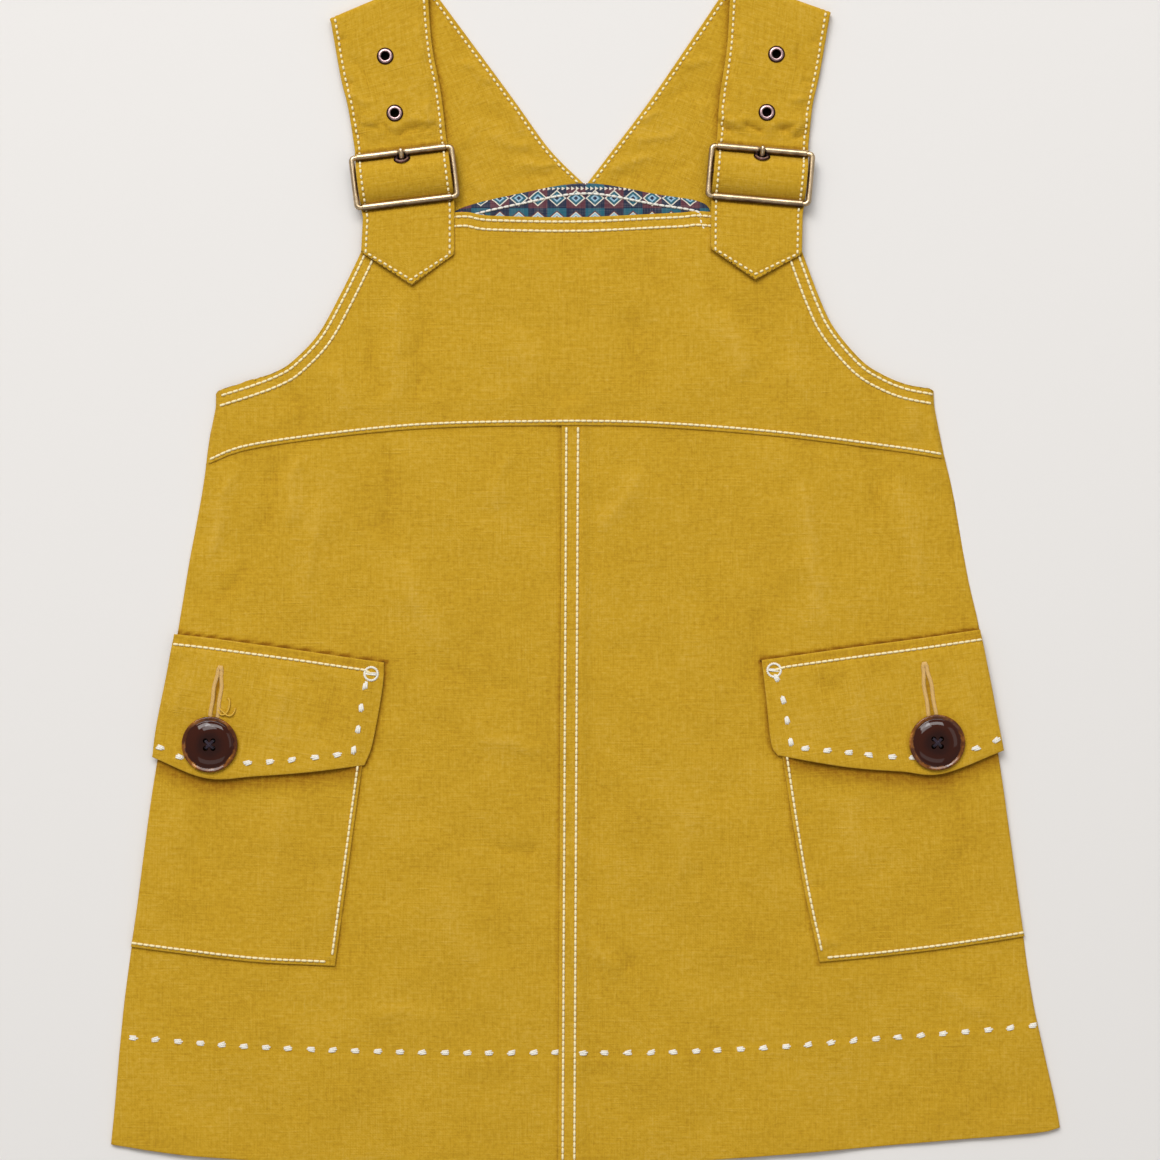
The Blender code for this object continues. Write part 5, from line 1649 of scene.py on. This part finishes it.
class PINAFORE_OT_tabs(bpy.types.Operator):
    """Add the cloth tabs that hold the buckles' centre bars"""

    bl_idname = "pinafore.tabs"
    bl_label = "Buckle Tabs"

    WIDTH = 31.0
    SLOT = 2.6
    EYE = 1.55
    # From the tail under the bib up to the bar, seen along it. Columns: y, z from the bar's middle
    TAIL = [(-19.0, -3.6), (-12.0, -3.6), (-8.4, -3.45), (-5.2, -2.5), (-2.9, -0.9), (-1.6, 0.3)]

    def execute(self, context):
        angles = np.radians(np.linspace(158.0, -128.0, 19))
        eye = on_circle(angles) * self.EYE
        line = np.vstack([smooth(self.TAIL), eye])
        way = travelled(line)
        for side in SIDES:
            bar_z = middle_of("buckle_frame_" + side)[2]
            parts = []
            for low, high in ((-self.WIDTH / 2, -self.SLOT / 2), (self.SLOT / 2, self.WIDTH / 2)):
                x = np.linspace(low, high, 11)
                height = np.broadcast_to(line[:, 1:] + bar_z, (len(line), len(x)))
                places = np.dstack([buckle_point(side, x[None], line[:, :1]), height])
                parts.append(wall(places, HALF_DOUBLED, pairs(x[None], way[:, None]), 0.0))
            name = f"buckle_tab_{side}"
            obj = joined(name + "_linen", parts, linen_material(), name)
        return {"FINISHED"}


class PINAFORE_OT_machine_stitches(bpy.types.Operator):
    """Add the rows of cream machine stitches"""

    bl_idname = "pinafore.machine_stitches"
    bl_label = "Machine Stitches"

    # How far the middle of the thread is above the cloth, as a share of its thickness
    LIFT = 0.26

    def rows(self):
        """Flat lines of stitches and the faces that they lie on, by piece. The straps' are not flat."""
        groups = {group: [] for group in ("bib", "skirt", "pockets", "flaps", "straps", "facing")}
        for inside in (STITCH_INSIDE, SECOND_ROW):
            top = beside(BIB_TOP_LINE, -inside)
            groups["bib"].append((top[(top[:, 0] > -58.0) & (top[:, 0] < 56.0)], bib_face))
            for side in SIDES:
                edge = beside(ARMHOLE_LINE[side], OUTWARD[side] * inside)
                groups["bib"].append((edge[(edge[:, 1] < 141.0) & (np.abs(edge[:, 0]) < 154.0)], bib_face))
        yoke = beside(YOKE_LINE, STITCH_INSIDE - YOKE_UNDER - 0.1)
        left = side_at("left", 47.0) + 1.0
        right = side_at("right", 50.0) - 1.0
        yoke = yoke[(yoke[:, 0] > left) & (yoke[:, 0] < right)]
        groups["bib"].append((share_of(yoke, np.linspace(0.0, 1.0, 200)), bib_face))
        heights = np.linspace(-249.0, 61.0, 160)
        for inside in LAP_ROWS:
            groups["skirt"].append((np.column_stack([lap_edge(heights) + inside, heights]), right_skirt_face))
        for side in SIDES:
            inner = beside(smooth(POCKET_INNER[side]), OUTWARD[side] * POCKET_ROW)
            low = beside(smooth(POCKET_BOTTOM[side]), OUTWARD[side] * POCKET_ROW)
            inner = inner[inner[:, 1] > low[:, 1].min() + 0.6]
            low = low[np.abs(low[:, 0]) > np.abs(inner[-1, 0])]
            groups["pockets"] += [(inner, pocket_face), (low, pocket_face)]
            top = beside(smooth(FLAP[side]["top"]), -OUTWARD[side] * FLAP_ROW_INSIDE)
            top[0] = FLAP_RING[side]
            top = np.vstack([top[:1], top[np.abs(top[:, 0]) > np.abs(top[0, 0]) + 1.0]])
            groups["flaps"].append((share_of(top, np.linspace(0.0, 1.0, 60)), flap_face))
        neck = beside(NECK_LINE, -4.4)
        groups["facing"].append((neck[np.abs(neck[:, 0]) < 52.0], facing_face))
        return groups

    def execute(self, context):
        settings = context.scene.pinafore_stitching
        pitch = settings.pitch / MM
        thickness = settings.thread / MM
        lift = thickness * self.LIFT
        close = stitch_shape(pitch, thickness, thickness * 0.30)
        dotted = stitch_shape(pitch * 0.66, thickness * 0.92, thickness * 0.36)
        for group, rows in self.rows().items():
            parts = [row_of(close, with_z(line, face(line)), pitch, lift) for line, face in rows]
            if group == "straps":
                sewing = [row for side in SIDES for row in strap_sewing(side)]
                parts = [row_of(dotted, path, pitch, lift - 0.1, ups) for path, ups in sewing]
            colour = "white" if group == "facing" else "cream"
            joined("machine_stitches_" + group, parts, thread_material(colour))
        return {"FINISHED"}


class PINAFORE_OT_hand_stitches(bpy.types.Operator):
    """Add the large white hand stitches of the hem and the flaps, and the worked rings"""

    bl_idname = "pinafore.hand_stitches"
    bl_label = "Hand Stitches"

    LENGTH = 3.9
    STRANDS = 3
    RING_STITCHES = 22

    def floss(self, runs_and_counts, face, seed, strand):
        """Each stitch is three strands of floss that lie side by side, a little fanned and slanted."""
        draw = np.random.default_rng(seed)
        parts = []
        for rows, count in runs_and_counts:
            line = smooth(rows)
            where = np.linspace(0.0, travelled(line)[-1], count) + draw.uniform(-0.35, 0.35, count)
            origins = at(line, where)
            ahead = at(line, where + 1.0) - at(line, where - 1.0)
            slant = draw.uniform(-0.05, 0.3, count)
            # One draw for each stitch is passed over
            draw.random(count)
            for number in range(self.STRANDS):
                middle = number == 1
                across = (number - (self.STRANDS - 1) / 2) * strand * 0.74
                angle = (slant + (number - 1) * draw.uniform(0.02, 0.14, count))[:, None]
                run = unit(ahead * np.cos(angle) + sideways(ahead) * np.sin(angle))
                spots = origins + sideways(run) * across + run * draw.uniform(-0.35, 0.35, (count, 1))
                height = face(spots) + strand * (0.42 if middle else 0.28)
                shape = stitch_shape(self.LENGTH * (1.0 if middle else 0.86), strand, strand * 0.75)
                parts.append(stitches(shape, with_z(spots, height), with_z(run)))
        return parts

    def ring(self, side, strand):
        """A worked ring: slanted stitches side by side round a circle, and two long ones across it."""
        centre = np.array(FLAP_RING[side])
        angle = circle(self.RING_STITCHES)
        spots = centre + RING_RADIUS * on_circle(angle)
        origins = with_z(spots, flap_face(spots) + strand * 0.25)
        runs = with_z(sideways(on_circle(angle + 0.5)))
        worked = stitches(stitch_shape(1.5, strand, strand * 0.4), origins, runs)
        spots = centre + np.array([(0.0, -0.3), (0.1, 0.3)])
        origins = with_z(spots, flap_face(spots) + strand * 0.35)
        runs = np.array([(1.0, -0.1, 0.0), (1.0, -0.05, 0.0)])
        return [worked, stitches(stitch_shape(2 * RING_RADIUS, strand * 0.9, 0.2), origins, runs)]

    def execute(self, context):
        strand = context.scene.pinafore_stitching.floss / MM
        groups = {"hem": self.floss(HEM_PICKS, hem_face, 3, strand)}
        for seed, side in enumerate(SIDES, 7):
            picks = self.floss(FLAP_PICKS[side], flap_face, seed, strand)
            groups["flap_" + side] = picks + self.ring(side, strand * 0.9)
        for group, parts in groups.items():
            joined("hand_stitches_" + group, parts, thread_material("white"))
        return {"FINISHED"}


class PINAFORE_OT_buttonholes(bpy.types.Operator):
    """Add the worked buttonholes: two rails of close stitches, a bar at the top and a loose thread end"""

    bl_idname = "pinafore.buttonholes"
    bl_label = "Buttonholes"

    STRAND = 0.6
    PITCH = 0.52
    # How far above the button's middle the rails end
    END = 6.0
    # Two ends of thread left beside the left buttonhole. Columns: x, y
    LOOSE = [
        [(-154, -58), (-152.6, -59.6), (-150.8, -59.2), (-149.4, -57), (-149, -54), (-149.8, -52.6)],
        [(-153.6, -56.6), (-151.8, -58.4), (-149.6, -60), (-147.6, -59.2), (-146.6, -56.8)],
    ]

    def rails(self, side):
        """Stitches side by side along a hairpin: down from the rounded top on both sides of the slit."""
        top = np.array(BUTTONHOLE_TOP[side])
        slit = middle_of("button_" + side)[:2] - top
        run = unit(slit)
        normal = np.array([-run[1], run[0]])
        down = np.linspace(0.0, np.linalg.norm(slit) - self.END, 12)[:, None]
        spread = 0.75 + 0.75 * ease(down / 8.0) + 0.12 * np.sin(down * 2.1)
        left = top + down * run - spread * normal
        right = top + down * run + spread * normal
        line = smooth(np.vstack([left[::-1], [top - 1.1 * run], right]))
        where = np.arange(0.2, travelled(line)[-1], self.PITCH)
        runs = at(line, where + 0.2) - at(line, where - 0.2)
        return at(line, where), with_z(sideways(runs) - 0.3 * runs), run, normal

    def execute(self, context):
        for side in SIDES:
            spots, lean, run, normal = self.rails(side)
            origins = with_z(spots, flap_face(spots) + self.STRAND * 0.5)
            rails = stitches(stitch_shape(1.75, self.STRAND, 0.3), origins, lean)
            across = np.array([-0.9, -0.3, 0.3, 0.9])[:, None]
            spots = np.array(BUTTONHOLE_TOP[side]) - run * 0.6 + across * normal
            origins = with_z(spots, flap_face(spots) + self.STRAND * 0.8)
            fanned = with_z(run + across * np.array([0.2, 0.0]))
            bar = stitches(stitch_shape(2.6, self.STRAND, 0.35), origins, fanned)
            joined("buttonhole_stitches_" + side, [rails, bar], thread_material("tan"))
        parts = []
        for rows in self.LOOSE:
            loose = smooth(rows)
            lift = 0.35 + 0.6 * np.sin(np.linspace(0.0, math.pi, len(loose)))
            parts.append(tube(with_z(loose, flap_face(loose) + lift), 0.3, 8, UP))
        joined("loose_thread_end", parts, thread_material("golden"))
        return {"FINISHED"}


class PINAFORE_OT_buttons(bpy.types.Operator):
    """Add the two domed four-hole buttons and their thread"""

    bl_idname = "pinafore.buttons"
    bl_label = "Buttons"

    STEPS = 96
    HOLE_RADIUS = 1.05
    HOLE_SPREAD = 1.6
    TOP = 3.06
    STRAND = 0.24
    DARK = (0.034, 0.018, 0.036)
    # Half of the button's section, from the middle of its underside round the rim and over the dome.
    # Columns: radius as a share, height in mm
    SECTION = [
        (0, 0), (0.4, 0), (0.8, 0.05), (0.9, 0.28), (0.965, 0.75), (1, 1.35), (1, 1.75), (0.985, 2.05),
        (0.955, 2.2), (0.92, 2.09), (0.885, 1.9), (0.855, 1.82), (0.83, 1.9), (0.79, 2.2), (0.72, 2.6),
        (0.62, 2.97), (0.5, 3.23), (0.38, 3.3), (0.28, 3.2), (0.15, 3.08), (0, TOP),
    ]  # fmt: skip

    def execute(self, context):
        trims = context.scene.pinafore_trims
        radius = trims.button / MM / 2
        shell = material("mottled_shell", tortoiseshell, trims)
        rows = smooth(self.SECTION, 3)[1:-1]
        profile = np.column_stack([np.clip(rows[:, 0], 0.004, 1.0) * radius, rows[:, 1]])
        points, _, uv, _ = turned(profile, self.STEPS)
        points = np.vstack([points, [(0.0, 0.0, 0.0), (0.0, 0.0, self.TOP)]])
        uv = np.vstack([uv, np.zeros((2, 2))])
        rim = np.linalg.norm(points[:, :2], axis=1) / radius
        corners = np.array([(-1, -1, 0), (1, -1, 0), (1, 1, 0), (-1, 1, 0)])
        depths = np.array([(0.0, 0.0, z) for z in (-1.0, 0.5, 2.0, 4.5)])
        for side in SIDES:
            node = "button_" + side
            base = middle_of(node)
            base[2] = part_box(node)[0][2] / MM
            blank = new_mesh("button_blank", points + base, skin(len(profile), self.STEPS), uv, rim)
            spots = base + self.HOLE_SPREAD * corners
            drills = [tube(spot + depths, self.HOLE_RADIUS, 24, (1.0, 0.0, 0.0)) for spot in spots]
            mesh = drilled(blank, drills)
            mesh.set_sharp_from_angle(angle=math.radians(40.0))
            new_piece(node + "_shell", mesh, shell, node)
            self.thread(side, base)
        return {"FINISHED"}

    def thread(self, side, base):
        """A cross of dark thread over the face and a shank below that stands in the buttonhole."""
        parts = []
        for slant, over in ((45.0, 0.0), (-45.0, 0.4)):
            across = turn_z(np.array([0.0, 1.0, 0.0]), slant)
            for step in (-0.27, 0.27):
                half = [(-2.3, step, -0.1), (-2.2, step, 2.5), (-1.3, step, 3.32), (0.0, step, 3.32 + over)]
                path = np.array(half + [(-x, y, z) for x, y, z in half[-2::-1]])
                parts.append(tube(turn_z(smooth(path, 5), slant) + base, self.STRAND, 8, across))
        node = "button_thread_" + side
        low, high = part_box(node)
        turns = np.linspace(0.0, 2 * math.pi * 5, 121)
        height = np.linspace(low[2] / MM + 0.2, high[2] / MM - 0.05, 121)
        parts.append(tube(with_z(base[:2] + 0.6 * on_circle(turns), height), self.STRAND, 8, UP))
        stitching = material("thread_dark", thread, "thread_dark", self.DARK, 0.9)
        joined(f"button_{side}_sewing", parts, stitching, node)


class PINAFORE_OT_eyelets(bpy.types.Operator):
    """Add the six eyelets, each with a rolled rim, a barrel and a washer"""

    bl_idname = "pinafore.eyelets"
    bl_label = "Eyelets"

    STEPS = 40
    # Section round the hole, from the washer below up the barrel to the rim and its outer edge.
    # Columns: radius, height above the strap's middle, and painted light and shade: 1 for the painted
    # highlight on the rim's top, -1 for the dark round it, partly patina and partly painted shade, and for
    # painted shade in the hole
    RIM = [
        (3.3, -0.72, -1.0), (3.2, -0.95, -1.0), (1.95, -1.0, -1.0), (1.85, -1.75, -1.0), (1.62, -1.75, -1.0),
        (1.62, 0.3, -1.0), (1.62, 0.75, -0.9), (1.70, 1.05, -0.5), (1.88, 1.26, 0.3), (2.15, 1.38, 0.9),
        (2.5, 1.38, 1.0), (2.85, 1.26, 0.7), (3.1, 1.12, 0.0), (3.35, 0.96, -0.7), (3.55, 0.84, -1.0),
        (3.5, 0.74, -1.0), (1.95, 0.72, -1.0), (1.95, -0.7, -1.0),
    ]  # fmt: skip

    def execute(self, context):
        copper = material("eyelet_copper", eyelet_metal, context.scene.pinafore_trims)
        section = np.array(self.RIM)
        points, faces, uv, _ = turned(section[:, :2], self.STEPS)
        worn = np.repeat(section[:, 2], self.STEPS)
        for side in SIDES:
            for number in EYELETS:
                centre, turn = eyelet_seat(side, number)
                node = f"eyelet_{side}_{number}"
                mesh = new_mesh(node + "_metal", points @ turn + centre, faces, uv, worn)
                new_piece(node + "_metal", mesh, copper, node)
        return {"FINISHED"}


class PINAFORE_OT_buckles(bpy.types.Operator):
    """Add the two roller buckles: wire frame, centre bar, rollers and prong"""

    bl_idname = "pinafore.buckles"
    bl_label = "Buckles"

    WIDTH = 42.2
    CORNER = 1.5
    BAR_RADIUS = 0.7
    ROLLER_LENGTH = 37.6
    ROLLER_INNER = 0.97
    ROLLER_OUTER = 1.5
    STEPS = 40
    NOTCH = 0.42
    EYE_WIRE = 0.55
    PRONG_RADIUS = 1.02
    # The prong's run from the centre bar over the top bar. Columns: y, z
    NEEDLE = [
        (2.3, -1.75), (4.3, -1.7), (5.7, -1.1), (6.9, 0.1), (8, 1.35), (9.2, 2.25), (10.4, 2.62), (11.9, 2.5)
    ]  # fmt: skip

    def seated(self, part, side):
        """A part of the buckle, moved from the bar's middle to its place on the dress."""
        points, faces, uv, worn = part
        centre = middle_of("buckle_frame_" + side)
        return turn_z(points, BUCKLE_TILT[side]) + centre, faces, uv, worn

    def frame_parts(self, wire):
        """The frame: a rounded rectangle of wire, thinner inside the rollers, and its centre bar."""
        middles = np.array([self.WIDTH / 2, BAR_SPREAD]) - self.CORNER
        route = []
        for quarter, signs in enumerate(((1, 1), (-1, 1), (-1, -1), (1, -1))):
            angle = np.radians(np.linspace(90.0 * quarter, 90.0 * (quarter + 1), 9))
            route.append(on_circle(angle) * self.CORNER + middles * signs)
        line = np.vstack(route + [route[0][:1]])
        even = share_of(line, np.linspace(0.0, 1.0, 220, endpoint=False))
        radii = wire * (0.77 + 0.23 * ease((np.abs(even[:, 0]) - self.ROLLER_LENGTH / 2) / 1.8))
        bar = np.column_stack([np.linspace(-self.WIDTH / 2, self.WIDTH / 2, 30), np.zeros((30, 2))])
        points, faces, uv, worn = tube(bar, self.BAR_RADIUS, 16, UP)
        # The centre bar gets painted shade all round, darker than the patina anywhere, as it lies in shadow
        # under the strap
        centre_bar = (points, faces, uv, np.abs(worn) - 2.0)
        return merged([tube(with_z(even), radii, 20, UP, closed=True), centre_bar])

    def roller(self, y, seed, notch):
        """A rolled tube of sheet brass on a bar: section (r, x) turned about X, with slightly bent ends.
        The upper one has a notch in its middle, r - notch exp(-(x / 1.5)^4), where the prong rests."""
        outer = self.ROLLER_OUTER
        half = self.ROLLER_LENGTH / 2
        x = np.concatenate([[-half], np.linspace(-half + 0.15, half - 0.15, 101), [half]])
        radius = np.full(len(x), outer)
        radius[[0, -1]] -= 0.12
        radius = radius + 0.025 * np.sin(x / 3.1 + seed) * np.cos(x / 7.7) - notch * np.exp(-((x / 1.5) ** 4))
        bore = [(self.ROLLER_INNER, half), (self.ROLLER_INNER, -half)]
        section = np.vstack([np.column_stack([radius, x]), bore])
        angle = circle(self.STEPS)
        radius = section[:, :1]
        along = np.broadcast_to(section[:, 1:], (len(section), self.STEPS))
        points = np.stack([along, radius * np.cos(angle) + y, radius * np.sin(angle)], axis=-1)
        # Painted light: brightest on the upper side turned towards +Y, where the light comes from, with
        # painted shade below
        worn = np.broadcast_to(np.sin(angle + 0.7), along.shape).reshape(-1)
        faces = skin(len(section), self.STEPS, True)
        return points.reshape(-1, 3), faces, pairs(along, angle[None] * outer), worn

    def prong(self):
        """The prong: an eye round the centre bar, then a tapered needle."""
        eye = self.BAR_RADIUS + 0.3 + self.EYE_WIRE
        ring = on_circle(np.radians(np.linspace(20.0, 270.0, 31))) * eye
        needle = smooth([(0.0, -eye)] + self.NEEDLE, 6)[1:]
        thickening = np.minimum(self.PRONG_RADIUS, np.linspace(0.56, 1.5, len(needle)))
        radii = np.concatenate([np.full(31, self.EYE_WIRE), thickening])
        radii[-4:] = (0.98, 0.92, 0.78, 0.5)
        line = np.vstack([ring, needle])
        return tube(np.column_stack([np.zeros(len(line)), line]), radii, 16, (1.0, 0.0, 0.0))

    def execute(self, context):
        trims = context.scene.pinafore_trims
        metal = material("aged_brass", brass, trims)
        for side in SIDES:
            pieces = {
                "buckle_frame_" + side: self.frame_parts(trims.wire / MM / 2),
                "roller_top_" + side: self.roller(BAR_SPREAD, 1.0, self.NOTCH),
                "roller_bottom_" + side: self.roller(-BAR_SPREAD, 4.0, 0.0),
                "prong_" + side: self.prong(),
            }
            for node, part in pieces.items():
                joined(node + "_brass", [self.seated(part, side)], metal, node)
        return {"FINISHED"}


class PINAFORE_OT_stage(bpy.types.Operator):
    """Add the floor, the soft light from the straps' end and the camera straight above"""

    bl_idname = "pinafore.stage"
    bl_label = "Stage"

    AIM = (-2.3, -3.15, 2.5)
    # Columns: name, place (m), width and height (m), power (W)
    LIGHTS = [
        ("key", (-1.7, 2.9, 3.2), (2.0, 2.0), 84.0),
        ("strip", (0.1, 2.3, 3.0), (2.6, 1.2), 56.0),
        ("overhead", (-0.4, 0.8, 1.9), (0.8, 0.5), 5.0),
        ("front", (-0.2, -1.6, 2.2), (2.4, 0.9), 5.0),
        ("side", (1.7, 0.3, 2.0), (1.6, 0.8), 3.0),
    ]
    WORLD = 0.305
    FLOOR = 3000.0

    def execute(self, context):
        stage = context.scene.pinafore_stage
        lines = np.linspace(-self.FLOOR, self.FLOOR, 9)
        grid = np.dstack(np.meshgrid(lines, lines) + [np.full((9, 9), -0.05)])
        faces = grid_faces(np.arange(81).reshape(9, 9)).tolist()
        mesh = new_mesh("floor", grid.reshape(-1, 3), faces)
        mesh.materials.append(material("pale_floor", floor_finish, stage))
        floor = bpy.data.objects.new("floor", mesh)
        context.scene.collection.objects.link(floor)

        world = bpy.data.worlds.new("studio")
        world.use_nodes = True
        sky = world.node_tree.nodes["Background"].inputs
        sky["Color"].default_value = (1.0, 0.995, 0.985, 1.0)
        sky["Strength"].default_value = self.WORLD
        context.scene.world = world
        for name, place, (width, height), power in self.LIGHTS:
            lamp = bpy.data.lights.new(name, "AREA")
            lamp.shape = "RECTANGLE"
            lamp.size = width
            lamp.size_y = height
            lamp.energy = power
            light = bpy.data.objects.new(name, lamp)
            light.location = place
            light.rotation_euler = (-light.location).to_track_quat("-Z", "Y").to_euler()
            context.scene.collection.objects.link(light)

        lens = bpy.data.cameras.new("camera")
        lens.sensor_width = 36.0
        lens.lens = lens.sensor_width * stage.distance / stage.width
        lens.clip_start = 0.05
        lens.clip_end = 20.0
        camera = bpy.data.objects.new("camera", lens)
        x, y, z = (part * MM for part in self.AIM)
        camera.location = (x, y, z + stage.distance)
        context.scene.collection.objects.link(camera)
        context.scene.camera = camera
        context.scene.view_settings.view_transform = "Standard"
        return {"FINISHED"}


OPERATORS = (
    PINAFORE_OT_stage,
    PINAFORE_OT_back,
    PINAFORE_OT_facing,
    PINAFORE_OT_skirt,
    PINAFORE_OT_bib,
    PINAFORE_OT_pockets,
    PINAFORE_OT_flaps,
    PINAFORE_OT_straps,
    PINAFORE_OT_tabs,
    PINAFORE_OT_machine_stitches,
    PINAFORE_OT_hand_stitches,
    PINAFORE_OT_buttonholes,
    PINAFORE_OT_buttons,
    PINAFORE_OT_eyelets,
    PINAFORE_OT_buckles,
)
SETTINGS = {
    "pinafore_cloth": PinaforeCloth,
    "pinafore_stitching": PinaforeStitching,
    "pinafore_trims": PinaforeTrims,
    "pinafore_stage": PinaforeStage,
}


class PINAFORE_PT_panel(bpy.types.Panel):
    """Buttons for the pieces, under their settings"""

    bl_idname = "PINAFORE_PT_panel"
    bl_label = "Pinafore Dress"
    bl_space_type = "VIEW_3D"
    bl_region_type = "UI"
    bl_category = "Pinafore"

    def draw(self, context):
        for name, group in SETTINGS.items():
            box = self.layout.box()
            for key in group.__annotations__:
                box.prop(getattr(context.scene, name), key)
        for operator in OPERATORS:
            self.layout.operator(operator.bl_idname)


def register():
    """Adds the classes and the settings."""
    for group in SETTINGS.values():
        bpy.utils.register_class(group)
    for operator in OPERATORS:
        bpy.utils.register_class(operator)
    bpy.utils.register_class(PINAFORE_PT_panel)
    for name, group in SETTINGS.items():
        setattr(bpy.types.Scene, name, PointerProperty(type=group))


def unregister():
    """Takes the settings and the classes away."""
    for name in SETTINGS:
        delattr(bpy.types.Scene, name)
    bpy.utils.unregister_class(PINAFORE_PT_panel)
    for operator in reversed(OPERATORS):
        bpy.utils.unregister_class(operator)
    for group in reversed(SETTINGS.values()):
        bpy.utils.unregister_class(group)


def main():
    """Makes every piece."""
    register()
    for operator in OPERATORS:
        group, name = operator.bl_idname.split(".")
        getattr(getattr(bpy.ops, group), name)()


if __name__ == "__main__":
    main()
